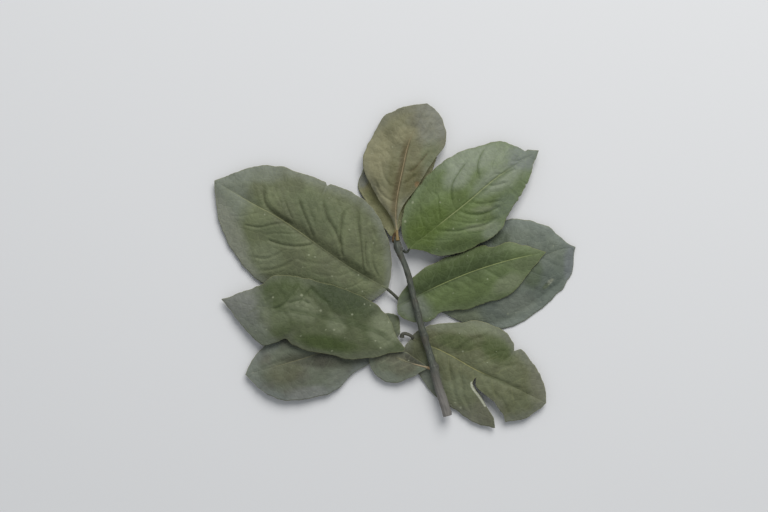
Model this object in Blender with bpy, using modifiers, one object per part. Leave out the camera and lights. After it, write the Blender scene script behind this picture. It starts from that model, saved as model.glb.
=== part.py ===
"""Bay leaf sprig lying on a surface: a woody stem with nine broad leaves and a small one.

Lengths are millimetres in the dictionaries and metres in the meshes. +X is the photograph's right, +Y its
top and +Z points up from the surface. Each leaf has its own frame: "along" runs from the blade's base to its
tip and "out" is to the left of that. "rise" numbers are heights of the blade's underside at equal steps from
base to tip.
"""

import math

import bmesh
import bpy
import numpy as np

MM = 0.001
BLADE_THICKNESS = 0.6
BLADE_ROWS = 26
BLADE_COLUMNS = 8
MARGIN_LEAD = 0.05  # how far a row's outer end runs ahead of its inner end, as side veins do
CROWN_POWER = 1.8
SWELL = 0.034  # height of each half's swell beside the sunken midrib, as a share of that half's width
RIB_SIDES = 8
RIB_START_RADIUS = 0.95
RIB_END_RADIUS = 0.42
RIB_REACH = 0.86  # share of the blade that the thick part of the midrib covers
STALK_RADIUS = 0.9
STEM_SIDES = 14
PLAN_CENTRE = (0.24, -0.04)  # where the middle of the bounding box falls in the coordinates below

LEAVES = {
    "leaf_left_large": {
        "base": (-3.25, -11.75), "heading": 148.0, "length": 102.0,
        "left": [(3.75, 9), (9.75, 20.25), (24.75, 29), (41, 31.5), (54, 30.75), (62.75, 29.75), (76.5, 24.75),
                 (88.75, 16.5), (97.5, 6.75)],
        "right": [(2.5, -6.75), (6.75, -14), (13.5, -21.75), (22, -27.5), (30.5, -31), (39.25, -31.5),
                  (51.5, -29.5), (68.25, -26), (80.5, -22.25), (88.75, -16.75), (95.5, -8.75)],
        "bow": [(23.25, -1.5), (53.25, -2.25), (81.5, -0.25)],
        "rise": [3.8, 5.4, 6.4, 5.6, 2.4], "rise_left": [3.8, 1.6, 1.2, 1.6, 2.4],
        "rise_right": [3.8, 5.2, 3.8, 3.2, 2.4],
        "stalk": [(7.5, -20.2, 1.5), (5.2, -18.9, 1.6), (2.25, -17.0, 2.0), (-0.6, -14.3, 3.0)],
        "colour": (0.335, 0.36, 0.255), "slot": "olive_leaf",
    },
    "leaf_top_front": {
        "base": (1.25, 16.25), "heading": 76.9, "length": 66.2,
        "left": [(7, 4.75), (13.25, 11.75), (20, 18), (27, 23.25), (32.75, 25), (38.5, 24.25), (48.75, 21.75),
                 (54.5, 19.75), (58.5, 15.75), (62.25, 10.75), (64.25, 5.75)],
        "right": [(4, 0.8), (9, 1), (13.5, 0.2), (20, -2.6), (27, -5.6), (34.25, -7.8), (41, -10.5),
                  (47.25, -13.25), (52.25, -13), (58.5, -10.5), (63, -6.5)],
        "bow": [(8, 2.6), (16, 4), (30.25, 4.5), (46.75, 4.25)],
        "rise": [8.8, 8.4, 6.8, 5.0, 3.4], "rise_left": [8.8, 6.2, 4.0, 3.2, 3.4],
        "rise_right": [8.8, 8.0, 6.4, 4.0, 3.4],
        "stalk": [(1.2, 14.9, 9.1)],
        "colour": (0.40, 0.385, 0.28), "slot": "brown_leaf",
    },
    "leaf_top_back": {
        "base": (0.25, 15.25), "heading": 86.4, "length": 55.6,
        "left": [(-0.25, 2.8), (6.5, 8), (16, 15.5), (21.25, 19.5), (25.75, 19.75), (34, 17.75), (45.75, 13.5),
                 (53.25, 6.75)],
        "right": [(3.75, -2.25), (12, -5.75), (25.25, -13), (35.75, -17.25), (42.75, -18.25), (49.5, -15),
                  (54, -8)],
        "bow": [(17.5, 1), (37.5, 1.25)],
        "rise": [5.2, 3.4, 2.4, 1.8, 1.2], "rise_left": [5.2, 2.2, -1.2, -0.4, 1.2],
        "rise_right": [5.2, 3.0, 1.0, 0.6, 1.2],
        "stalk": [(0.9, 12.6, 7.0), (0.6, 13.9, 6.2)],
        "colour": (0.34, 0.345, 0.27), "slot": "brown_leaf",
    },
    "leaf_upper_right": {
        "base": (6.75, 8.25), "heading": 37.0, "length": 81.4,
        "left": [(2, 7.75), (7.25, 14.5), (14.5, 19.25), (28.25, 23.25), (38.25, 24.25), (49.75, 23),
                 (59.75, 19.5), (69, 15), (72.25, 11), (75.5, 5.5)],
        "right": [(4.5, -4), (8.75, -10), (13.75, -14.75), (22.25, -18), (30.5, -19.5), (36.5, -20.5),
                  (43.25, -20), (49.75, -16.25), (59, -13.25), (65, -10.75), (71.25, -6.75), (76.5, -3.25)],
        "bow": [(15.5, 0.75), (37.5, 2.5), (57.5, 4.25)],
        "rise": [8.2, 9.8, 9.6, 7.4, 3.6], "rise_left": [8.2, 6.4, 4.8, 3.8, 3.6],
        "rise_right": [8.2, 7.2, 6.6, 5.2, 3.6],
        "stalk": [(4.7, 7.3, 8.4), (5.6, 7.2, 8.3)],
        "colour": (0.33, 0.42, 0.24), "slot": "green_leaf",
    },
    "leaf_mid_right": {
        "base": (1.25, -20.25), "heading": 20.0, "length": 78.8,
        "left": [(2.75, 4.25), (8.5, 8.5), (16.75, 12.5), (28, 14.25), (38.75, 14), (48.25, 14.25),
                 (55.25, 11.5), (63, 11), (70.5, 6.25)],
        "right": [(-0.5, -4.5), (3.5, -9.25), (10, -12.25), (15.25, -12), (20.75, -10.25), (32, -13.25),
                  (42, -13.5), (52.25, -14.25), (61, -11), (68.75, -6)],
        "bow": [(18.5, 2.25), (40, 3.5), (61, 2.5)],
        "rise": [4.2, 5.0, 7.2, 7.2, 4.8], "rise_left": [4.2, 4.2, 5.2, 5.9, 4.8],
        "rise_right": [4.2, 3.8, 4.7, 5.5, 4.8],
        "stalk": [],
        "colour": (0.34, 0.41, 0.25), "slot": "green_leaf",
    },
    "leaf_right_dark": {
        "base": (17.75, -23.25), "heading": 24.1, "length": 79.5,
        "left": [(4.25, 8.5), (13.5, 17), (26.25, 24.5), (39.5, 27.25), (53.5, 26.5), (64.25, 21.25),
                 (72, 13.75), (76.25, 4)],
        "right": [(5.75, -3), (11.5, -10), (19.75, -17), (28.5, -22), (38.75, -23.5), (52, -21), (65, -16.5),
                  (73.5, -10), (77.25, -3)],
        "bow": [(22.75, 1.75), (50, 1.75), (69.5, 2.25)],
        "rise": [1.1, 2.2, 3.8, 3.6, 1.2], "rise_left": [1.1, 0.6, 1.0, 1.8, 1.2],
        "rise_right": [1.1, -0.4, -2.6, -1.6, 1.2],
        "stalk": [(14.2, -20.6, 1.5)],
        "colour": (0.345, 0.375, 0.345), "slot": "dark_leaf",
    },
    "leaf_lower_left": {
        "base": (5.25, -41.25), "heading": 165.0, "length": 94.7,
        "left": [(6.75, 4), (15.75, 9), (27.75, 12.5), (36.5, 12.5), (45.5, 13.5), (53.5, 12.75),
                 (58.75, 10.75), (63.5, 14.25), (69, 16.5), (76.75, 13.25), (85.75, 6.5)],
        "right": [(6, -5), (10.75, -11.5), (19, -17.25), (33, -20.5), (49.75, -21.25), (65, -20.25),
                  (73.5, -17.5), (77.25, -12), (86.75, -5.5), (90.75, -2.25)],
        "bow": [(19.25, -4.75), (50.25, -4.25), (75.5, -1.5)],
        "rise": [5.8, 8.6, 9.6, 7.6, 2.6], "rise_left": [5.8, 6.8, 6.6, 4.2, 2.6],
        "rise_right": [5.8, 5.6, 7.2, 5.2, 2.6],
        "stalk": [],
        "colour": (0.31, 0.355, 0.235), "slot": "green_leaf",
    },
    "leaf_bottom_left": {
        "base": (2.75, -34.25), "heading": -165.4, "length": 79.6,
        "left": [(9.25, 5.75), (19.25, 10.5), (28.25, 13.25), (35.75, 18), (44, 20), (56.75, 19.25),
                 (66.25, 16.25), (73.75, 9.75)],
        "right": [(-1.2, -4.75), (-0.8, -9.75), (7, -13.25), (21.5, -17), (39.25, -18), (52.5, -16.75),
                  (65, -12.25), (74.25, -6.5)],
        "bow": [(25.25, -2), (50, -0.5)],
        "rise": [1.1, 1.8, 3.2, 3.4, 3.0], "rise_left": [1.1, 1.6, 3.0, 3.8, 3.0],
        "rise_right": [1.1, -2.2, 0.2, 1.0, 3.0],
        "stalk": [],
        "colour": (0.365, 0.37, 0.325), "slot": "dark_leaf",
    },
    "leaf_small": {
        "base": (17.0, -50.9), "heading": 166.4, "length": 31.2,
        "left": [(3, 2.6), (8.25, 7.4), (15.25, 11.6), (22.5, 11), (27.5, 7.25)],
        "right": [(6, -2.6), (14.5, -5.4), (23, -5.6), (29.0, -3.2)],
        "bow": [(10.25, -0.25), (21, -1.5)],
        "rise": [4.4, 4.2, 4.0, 3.6, 3.0], "rise_left": [4.4, 3.4, 2.8, 2.6, 3.0],
        "rise_right": [4.4, 3.9, 3.5, 3.1, 3.0],
        "stalk": [],
        "colour": (0.40, 0.42, 0.36), "slot": "dark_leaf",
    },
    "leaf_torn": {
        "base": (8.25, -36.5), "heading": -25.4, "length": 74.5,
        "left": [(0.25, 3), (1.75, 6), (4.25, 9), (6.75, 11.25), (14.25, 15.75), (20, 18.5), (25.75, 22.5),
                 (32.5, 23.5), (41, 23.25), (49, 19), (52.5, 18.75), (60.5, 14.75), (67, 10.5), (71.5, 5.5)],
        "right": [(-1.25, -5.5), (0.75, -9.75), (6.25, -13.25), (12, -15), (19.75, -19.5), (27, -21.75),
                  (36.75, -22.75), (45.25, -24.25), (51.75, -23.5), (57, -22), (60.75, -17.25), (67.25, -12.25),
                  (72.5, -4.5)],
        "bow": [(10.75, 1), (21.25, 1), (35.5, 0), (49, 0.5), (59.25, 0.25)],
        "rise": [1.8, 2.8, 4.6, 4.4, 2.6], "rise_left": [1.8, 2.4, 2.4, 2.4, 2.6],
        "rise_right": [1.8, 0.9, 1.6, 2.8, 2.6],
        "stalk": [(4.0, -36.0, 2.7), (3.3, -34.5, 3.2), (4.0, -33.0, 3.5), (5.6, -32.9, 3.2), (7.2, -34.2, 2.4)],
        "colour": (0.325, 0.335, 0.24), "slot": "olive_leaf",
    },
}

# The long split in the torn leaf, from the margin to beside the midrib, seen from above.
TEAR = [(55.75, -80.5), (54.25, -74.25), (52.25, -72.25), (49.25, -68), (44.25, -64.25), (40.4, -60.75),
        (39.9, -58.75), (40.6, -55.5), (39.25, -56.75), (38.7, -58.75), (39.6, -61), (43, -65.25),
        (46.3, -70.75), (49.5, -75.75), (50.5, -83)]

# Centre line of the stem from the tip to the cut end: x, y, height, radius.
STEM = [(1.3, 14.2, 8.9, 0.9), (1.6, 11.5, 8.9, 1.15), (1.9, 8.75, 8.8, 1.55), (3.25, 5.25, 8.6, 1.1),
        (5.25, 0.25, 8.4, 1.0), (7.5, -6.25, 8.2, 1.2), (8.75, -11.25, 8.0, 1.3), (10.25, -17.25, 7.8, 1.45),
        (11.75, -22.25, 7.5, 1.6), (13.25, -28.25, 7.1, 1.65), (15.2, -34.6, 6.7, 1.9), (17.65, -42.25, 6.3, 1.75),
        (19.1, -47.25, 6.2, 1.9), (20.2, -51.0, 6.0, 2.25), (21.4, -57, 5.8, 1.95), (22.75, -62.25, 5.6, 1.95),
        (24.25, -67.25, 5.5, 2.0), (25.75, -72.25, 5.4, 2.1), (26.35, -74.6, 5.4, 2.1)]

# Small buds on the stem's nodes: centre, radii.
BUDS = {
    "upper_node": ((0.6, 8.4, 8.9), (0.9, 1.1, 0.9)),
    "middle_node": ((13.9, -35.6, 6.9), (1.1, 1.3, 1.0)),
    "lower_node": ((18.4, -50.6, 6.0), (1.2, 1.1, 1.1)),
}


def collection_named(name):
    collection = bpy.data.collections.new(name)
    bpy.context.scene.collection.children.link(collection)
    return collection


def material_named(name, colour, roughness):
    material = bpy.data.materials.new(name)
    material.use_nodes = True
    shader = material.node_tree.nodes["Principled BSDF"]
    shader.inputs["Base Color"].default_value = (*colour, 1)
    shader.inputs["Roughness"].default_value = roughness
    shader.inputs["Metallic"].default_value = 0
    return material


def add_object(name, mesh, collection):
    made = bpy.data.objects.new(name, mesh)
    collection.objects.link(made)
    return made


def line_through(points, samples=400):
    """A smooth line through the points, sampled at equal steps of its length."""
    points = np.array(points, float)
    before = 2 * points[0] - points[1]
    after = 2 * points[-1] - points[-2]
    chain = np.vstack([before, points, after])
    steps = np.linspace(0, 1, 16, endpoint=False)[:, None]
    spans = []
    for a, b, c, d in zip(chain, chain[1:], chain[2:], chain[3:]):
        bend = (2 * a - 5 * b + 4 * c - d) * steps**2 + (3 * b - a - 3 * c + d) * steps**3
        spans.append(0.5 * (2 * b + (c - a) * steps + bend))
    line = np.vstack(spans + [points[-1:]])
    length = np.concatenate([[0], np.cumsum(np.linalg.norm(np.diff(line, axis=0), axis=1))])
    even = np.linspace(0, length[-1], samples)
    return np.column_stack([np.interp(even, length, column) for column in line.T])


def along_line(line, share):
    """The point at this share of the line's length."""
    position = np.clip(share, 0, 1) * (len(line) - 1)
    return np.array([np.interp(position, np.arange(len(line)), column) for column in line.T])


def height_at(rises, share):
    """A smooth height between stations at equal steps."""
    line = line_through([(10.0 * i, rise) for i, rise in enumerate(rises)])
    return float(np.interp(share * line[-1, 0], line[:, 0], line[:, 1]))


def leaf_surface(leaf):
    """A function from (share from base to tip, side from -1 at the right margin to 1 at the left) to a point."""
    ends = [(0, 0)], [(leaf["length"], 0)]
    lines = {key: line_through(ends[0] + leaf[key] + ends[1]) for key in ("left", "right", "bow")}
    turn = math.radians(leaf["heading"])
    forward = np.array([math.cos(turn), math.sin(turn)])
    sideways = np.array([-math.sin(turn), math.cos(turn)])

    def point(share, side):
        middle = along_line(lines["bow"], share)
        lead = share + MARGIN_LEAD * math.sin(math.pi * share)
        edge = along_line(lines["left" if side > 0 else "right"], lead)
        flat = middle + (edge - middle) * abs(side)
        middle_rise = height_at(leaf["rise"], share)
        edge_rise = height_at(leaf["rise_left" if side > 0 else "rise_right"], share)
        rise = middle_rise + (edge_rise - middle_rise) * abs(side) ** CROWN_POWER
        swell = SWELL * np.linalg.norm(edge - middle)
        rise += swell * 6.75 * abs(side) * (1 - abs(side)) ** 2  # 6.75 makes the peak 1, at a third of the way out
        x, y = np.array(leaf["base"]) + flat[0] * forward + flat[1] * sideways
        return x, y, max(rise, 0.0)

    return point


def blade_mesh(name, point):
    """The underside as a grid bent to the leaf's form, in triangles so that both faces crease alike."""
    grid = bmesh.new()
    bmesh.ops.create_grid(grid, x_segments=BLADE_ROWS, y_segments=BLADE_COLUMNS, size=1)
    for vertex in grid.verts:
        share = (vertex.co.x + 1) / 2
        share = 0.5 - 0.5 * math.cos(math.pi * share) * (0.35 + 0.65 * abs(2 * share - 1))
        x, y, z = point(share, vertex.co.y)
        vertex.co = (x * MM, y * MM, z * MM)
    bmesh.ops.remove_doubles(grid, verts=grid.verts, dist=0.02 * MM)
    bmesh.ops.triangulate(grid, faces=grid.faces, quad_method="BEAUTY")
    bmesh.ops.recalc_face_normals(grid, faces=grid.faces)
    if sum(face.normal.z * face.calc_area() for face in grid.faces) < 0:
        bmesh.ops.reverse_faces(grid, faces=grid.faces)
    mesh = bpy.data.meshes.new(name)
    grid.to_mesh(mesh)
    grid.free()
    return mesh


def tube(name, points, radii, sides, collection):
    """A closed round tube along the points, as a mesh."""
    curve = bpy.data.curves.new(name, "CURVE")
    curve.dimensions = "3D"
    curve.bevel_mode = "ROUND"
    curve.bevel_depth = MM
    curve.bevel_resolution = sides // 2 - 2
    curve.use_fill_caps = True
    spline = curve.splines.new("POLY")
    spline.points.add(len(points) - 1)
    for place, (x, y, z), radius in zip(spline.points, points, radii):
        place.co = (x * MM, y * MM, z * MM, 1)
        place.radius = radius
    guide = add_object(name + "_guide", curve, collection)
    bpy.context.view_layer.update()
    graph = bpy.context.evaluated_depsgraph_get()
    mesh = bpy.data.meshes.new_from_object(guide.evaluated_get(graph))
    place = guide.matrix_world.copy()
    bpy.data.objects.remove(guide)
    closed = bmesh.new()
    closed.from_mesh(mesh)
    bmesh.ops.remove_doubles(closed, verts=closed.verts, dist=0.001 * MM)
    bmesh.ops.recalc_face_normals(closed, faces=closed.faces)
    closed.to_mesh(mesh)
    closed.free()
    made = add_object(name, mesh, collection)
    made.matrix_world = place
    return made


def use_boolean(target, tool, operation):
    cut = target.modifiers.new(tool.name, "BOOLEAN")
    cut.operation = operation
    cut.solver = "EXACT"
    cut.object = tool
    tool.hide_render = True
    tool.display_type = "WIRE"


def build_leaf(name, leaf, parts, cutters):
    point = leaf_surface(leaf)
    blade = add_object(name, blade_mesh(name, point), parts)
    blade.data.materials.append(material_named(leaf["slot"] + "_" + name, leaf["colour"], 0.42))
    thick = blade.modifiers.new("thickness", "SOLIDIFY")
    thick.thickness = BLADE_THICKNESS * MM
    thick.offset = 1
    stalk = [tuple(step) for step in leaf["stalk"]]
    radii = [STALK_RADIUS] * len(stalk)
    steps = np.linspace(0.012, RIB_REACH, 15)
    for share in steps:
        x, y, z = point(share, 0.0)
        stalk.append((x, y, z - 0.05))
        radii.append(RIB_START_RADIUS + (RIB_END_RADIUS - RIB_START_RADIUS) * (share / RIB_REACH) ** 0.6)
    rib = tube(name + "_midrib", stalk, radii, RIB_SIDES, cutters)
    use_boolean(blade, rib, "UNION")
    return blade


def build_tear(cutters):
    """A tall prism with the split's outline, which cuts the torn leaf from its margin inwards."""
    prism = bmesh.new()
    corners = [prism.verts.new((x * MM, y * MM, -5 * MM)) for x, y in TEAR]
    floor = prism.faces.new(corners)
    grown = bmesh.ops.extrude_face_region(prism, geom=[floor])
    raised = [item for item in grown["geom"] if isinstance(item, bmesh.types.BMVert)]
    bmesh.ops.translate(prism, verts=raised, vec=(0, 0, 25 * MM))
    bmesh.ops.triangulate(prism, faces=prism.faces)
    bmesh.ops.recalc_face_normals(prism, faces=prism.faces)
    mesh = bpy.data.meshes.new("tear")
    prism.to_mesh(mesh)
    prism.free()
    return add_object("tear", mesh, cutters)


def build_stem(parts, cutters):
    line = line_through(STEM, 40)
    guide = tube("stem_guide", line[:, :3], line[:, 3], STEM_SIDES, parts)
    guide.name = "stem"
    guide.data.materials.append(material_named("bark", (0.27, 0.275, 0.25), 0.6))
    for name, (centre, radii) in BUDS.items():
        ball = bmesh.new()
        bmesh.ops.create_icosphere(ball, subdivisions=2, radius=1)
        for vertex in ball.verts:
            vertex.co = [(c + r * v) * MM for c, r, v in zip(centre, radii, vertex.co)]
        mesh = bpy.data.meshes.new(name)
        ball.to_mesh(mesh)
        ball.free()
        use_boolean(guide, add_object(name, mesh, cutters), "UNION")
    return guide


def main():
    for old in list(bpy.data.objects):
        bpy.data.objects.remove(old)
    parts = collection_named("bay_leaf_sprig")
    cutters = collection_named("cutters")
    cutters.hide_render = True
    build_stem(parts, cutters)
    blades = {name: build_leaf(name, leaf, parts, cutters) for name, leaf in LEAVES.items()}
    use_boolean(blades["leaf_torn"], build_tear(cutters), "DIFFERENCE")
    for made in list(parts.objects) + list(cutters.objects):
        made.location.x -= PLAN_CENTRE[0] * MM
        made.location.y -= PLAN_CENTRE[1] * MM


main()
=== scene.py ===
import math

import bpy
import numpy as np
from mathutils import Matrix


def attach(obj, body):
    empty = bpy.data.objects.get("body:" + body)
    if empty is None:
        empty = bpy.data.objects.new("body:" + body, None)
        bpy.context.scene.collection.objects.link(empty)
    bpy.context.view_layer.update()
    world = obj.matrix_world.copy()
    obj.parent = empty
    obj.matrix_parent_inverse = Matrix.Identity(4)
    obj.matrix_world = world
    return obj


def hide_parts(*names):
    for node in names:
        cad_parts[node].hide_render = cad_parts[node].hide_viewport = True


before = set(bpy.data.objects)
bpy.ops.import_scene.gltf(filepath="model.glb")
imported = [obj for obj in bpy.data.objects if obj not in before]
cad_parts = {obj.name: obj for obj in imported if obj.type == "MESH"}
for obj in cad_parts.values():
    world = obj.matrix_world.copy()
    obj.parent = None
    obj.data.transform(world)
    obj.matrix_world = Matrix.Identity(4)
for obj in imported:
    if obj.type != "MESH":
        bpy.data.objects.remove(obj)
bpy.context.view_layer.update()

mm = 0.001


# Shared helpers

def sayStage(words):
    print("sprig:", words)


def deselectAll():
    for thing in bpy.context.selected_objects:
        thing.select_set(False)


def pickOnly(thing):
    deselectAll()
    thing.select_set(True)
    bpy.context.view_layer.objects.active = thing


def pickCorners(thing, picked):  # leaves only these vertices of the active mesh selected
    bpy.ops.object.mode_set(mode="EDIT")
    bpy.ops.mesh.select_mode(type="VERT")
    bpy.ops.mesh.select_all(action="DESELECT")
    bpy.ops.object.mode_set(mode="OBJECT")
    thing.data.vertices.foreach_set("select", picked)


def closeUp(thing, gap):  # joins vertices nearer than gap mm and turns the faces outwards
    pickOnly(thing)
    bpy.ops.object.mode_set(mode="EDIT")
    bpy.ops.mesh.select_all(action="SELECT")
    bpy.ops.mesh.remove_doubles(threshold=gap * mm)
    bpy.ops.mesh.normals_make_consistent(inside=False)
    bpy.ops.object.mode_set(mode="OBJECT")


def readSpots(mesh):
    spots = np.empty(len(mesh.vertices) * 3)
    mesh.vertices.foreach_get("co", spots)
    return spots.reshape(-1, 3)


def readNote(mesh, name):
    values = np.empty(len(mesh.vertices) * 3, np.float32)
    mesh.attributes[name].data.foreach_get("vector", values)
    return values.reshape(-1, 3)


def storeNote(mesh, name, values):  # three numbers at each vertex, which the material reads
    note = mesh.attributes.get(name) or mesh.attributes.new(name, "FLOAT_VECTOR", "POINT")
    note.data.foreach_set("vector", np.ascontiguousarray(values, np.float32).ravel())


def lineThrough(points, samples=400):  # smooth line, even steps of its length
    points = np.array(points, float)
    chain = np.vstack([2 * points[0] - points[1], points, 2 * points[-1] - points[-2]])
    steps = np.linspace(0, 1, 16, endpoint=False)[:, None]
    spans = []
    for a, b, c, d in zip(chain, chain[1:], chain[2:], chain[3:]):
        bend = (2 * a - 5 * b + 4 * c - d) * steps**2 + (3 * b - a - 3 * c + d) * steps**3
        spans.append(0.5 * (2 * b + (c - a) * steps + bend))
    line = np.vstack(spans + [points[-1:]])
    length = np.concatenate([[0], np.cumsum(np.linalg.norm(np.diff(line, axis=0), axis=1))])
    even = np.linspace(0, length[-1], samples)
    return np.column_stack([np.interp(even, length, column) for column in line.T])


def alongLine(line, share):
    position = np.clip(share, 0, 1) * (len(line) - 1)
    return np.stack([np.interp(position, np.arange(len(line)), column) for column in line.T], axis=-1)


def heightAt(rises, share):
    line = lineThrough([(10.0 * i, rise) for i, rise in enumerate(rises)])
    return np.interp(share * line[-1, 0], line[:, 0], line[:, 1])


def wander(x, y, size, seed):  # smooth uneven rise and fall, about 1 high, with waves about size long
    chance = np.random.default_rng(seed)
    total = np.zeros(len(x))
    for _ in range(14):
        turn = chance.uniform(0, 2 * math.pi)
        wave = 2 * math.pi / (size * chance.uniform(0.7, 1.6))
        total += np.sin(wave * (x * math.cos(turn) + y * math.sin(turn)) + chance.uniform(0, 2 * math.pi))
    return total / 2.7


def hexToLinear(code):
    parts = [int(code[i:i + 2], 16) / 255 for i in (1, 3, 5)]
    return [p / 12.92 if p <= 0.04045 else ((p + 0.055) / 1.055) ** 2.4 for p in parts] + [1.0]


def addNode(tree, kind, settings=None, links=None):
    node = tree.nodes.new(kind)
    for key, value in (settings or {}).items():
        if isinstance(key, int) or key in node.inputs:
            node.inputs[key].default_value = value
        else:
            setattr(node, key, value)
    for key, source in (links or {}).items():
        tree.links.new(source, node.inputs[key])
    return node


def newMaterial(name):
    material = bpy.data.materials.new(name)
    material.use_nodes = True
    tree = material.node_tree
    return material, tree, tree.nodes["Principled BSDF"]


def layCoats(tree, tones, follows, coats, easing):
    # each coat: its tone, then masks that multiply: what it follows, from, to, strength at from and at to
    bare = addNode(tree, "ShaderNodeRGB")
    bare.outputs[0].default_value = tones["face"]
    colour = bare.outputs[0]
    for tone, *masks in coats:
        amount = None
        for word, low, high, atLow, atHigh in masks:
            mask = addNode(tree, "ShaderNodeMapRange",
                           {"interpolation_type": easing, "From Min": low, "From Max": high,
                            "To Min": atLow, "To Max": atHigh}, {"Value": follows[word]})
            if amount is not None:
                mask = addNode(tree, "ShaderNodeMath", {"operation": "MULTIPLY"},
                               {0: amount, 1: mask.outputs[0]})
            amount = mask.outputs[0]
        layer = addNode(tree, "ShaderNodeMix", {"data_type": "RGBA", 7: tones[tone]},
                        {0: amount, 6: colour})
        colour = layer.outputs[2]
    return colour


# Camera, floor and light

stageSet = {
    "centre": (-5.49, 4.79),   # mm, what the middle of the view looks at
    "height": 900.0,           # mm above the surface
    "viewWidth": 384.0,        # mm of surface across the picture
    "floorSize": 6, "floorLevel": -0.3,                              # metres across, mm
    "floorColour": "#E3E4E6", "floorRoughness": 0.75, "floorSpecular": 0.2,
    "keyPlace": (360, 1040, 1180), "keySize": 1200, "keyPower": 21,  # mm and watts, beyond the top right
    "keyTint": (1.0, 0.985, 0.96),
    "skyTint": (0.93, 0.965, 1.0, 1), "skyPower": 0.37,
}


def setStage(s):
    camera = bpy.data.cameras.new("overheadCamera")
    camera.sensor_width = 36
    camera.lens = 36 * s["height"] / s["viewWidth"]
    camera.clip_end = 20
    holder = bpy.data.objects.new("overheadCamera", camera)
    holder.location = (s["centre"][0] * mm, s["centre"][1] * mm, s["height"] * mm)
    bpy.context.scene.collection.objects.link(holder)
    bpy.context.scene.camera = holder

    # painted board, matte: an even pale ground that shows only the soft shadows
    deselectAll()
    bpy.ops.mesh.primitive_plane_add(size=s["floorSize"], location=(0, 0, s["floorLevel"] * mm))
    floor = bpy.context.active_object
    floor.name = "paleFloor"
    material, tree, shader = newMaterial("pale matte board")
    shader.inputs["Base Color"].default_value = hexToLinear(s["floorColour"])
    shader.inputs["Roughness"].default_value = s["floorRoughness"]
    shader.inputs["Specular IOR Level"].default_value = s["floorSpecular"]
    floor.data.materials.append(material)

    lamp = bpy.data.lights.new("softWindow", "AREA")
    lamp.shape = "DISK"
    lamp.size = s["keySize"] * mm
    lamp.energy = s["keyPower"]
    lamp.color = s["keyTint"]
    lampHolder = bpy.data.objects.new("softWindow", lamp)
    x, y, z = s["keyPlace"]
    lampHolder.location = (x * mm, y * mm, z * mm)
    lampHolder.rotation_euler = (math.atan2(math.hypot(x, y), z), 0, math.atan2(-y, -x) - math.pi / 2)
    bpy.context.scene.collection.objects.link(lampHolder)

    world = bpy.data.worlds.new("softRoom")
    world.use_nodes = True
    bpy.context.scene.world = world
    background = world.node_tree.nodes["Background"]
    background.inputs["Strength"].default_value = s["skyPower"]
    background.inputs["Color"].default_value = s["skyTint"]

    view = bpy.context.scene.view_settings
    view.view_transform = "Standard"
    view.look = "None"
    view.exposure = 0
    view.gamma = 1


setStage(stageSet)
sayStage("camera, floor and light are set")


# Leaves

leafTones = {  # shared by all the leaves, from the freshest green to what has dried most, and for painted shade and sheen
    "nightGreen": "#38432A", "bottleGreen": "#46542C", "vividGreen": "#4D5E25", "leafGreen": "#5C6C3A",
    "freshGreen": "#68774C", "mossGreen": "#5C654A", "oliveGreen": "#6C7358", "softSage": "#7A8168",
    "paleSage": "#878F7E", "silverSage": "#8B8E80", "slateGreen": "#666F66", "greyGreen": "#7A8075",
    "blueGrey": "#757A7C", "ashGrey": "#80827E", "khaki": "#74744E", "khakiGrey": "#757567",
    "straw": "#8D8A6D", "umberGreen": "#5A5838", "darkUmber": "#3A392E", "rust": "#A66848",
    "dryRim": "#8C8B66", "palePoint": "#A3A592", "paleSpeck": "#A9AE94", "tornFibreAndLight": "#C2C4B2",
    "underPale": "#8A8F74", "underVein": "#A09A72",
}
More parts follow.
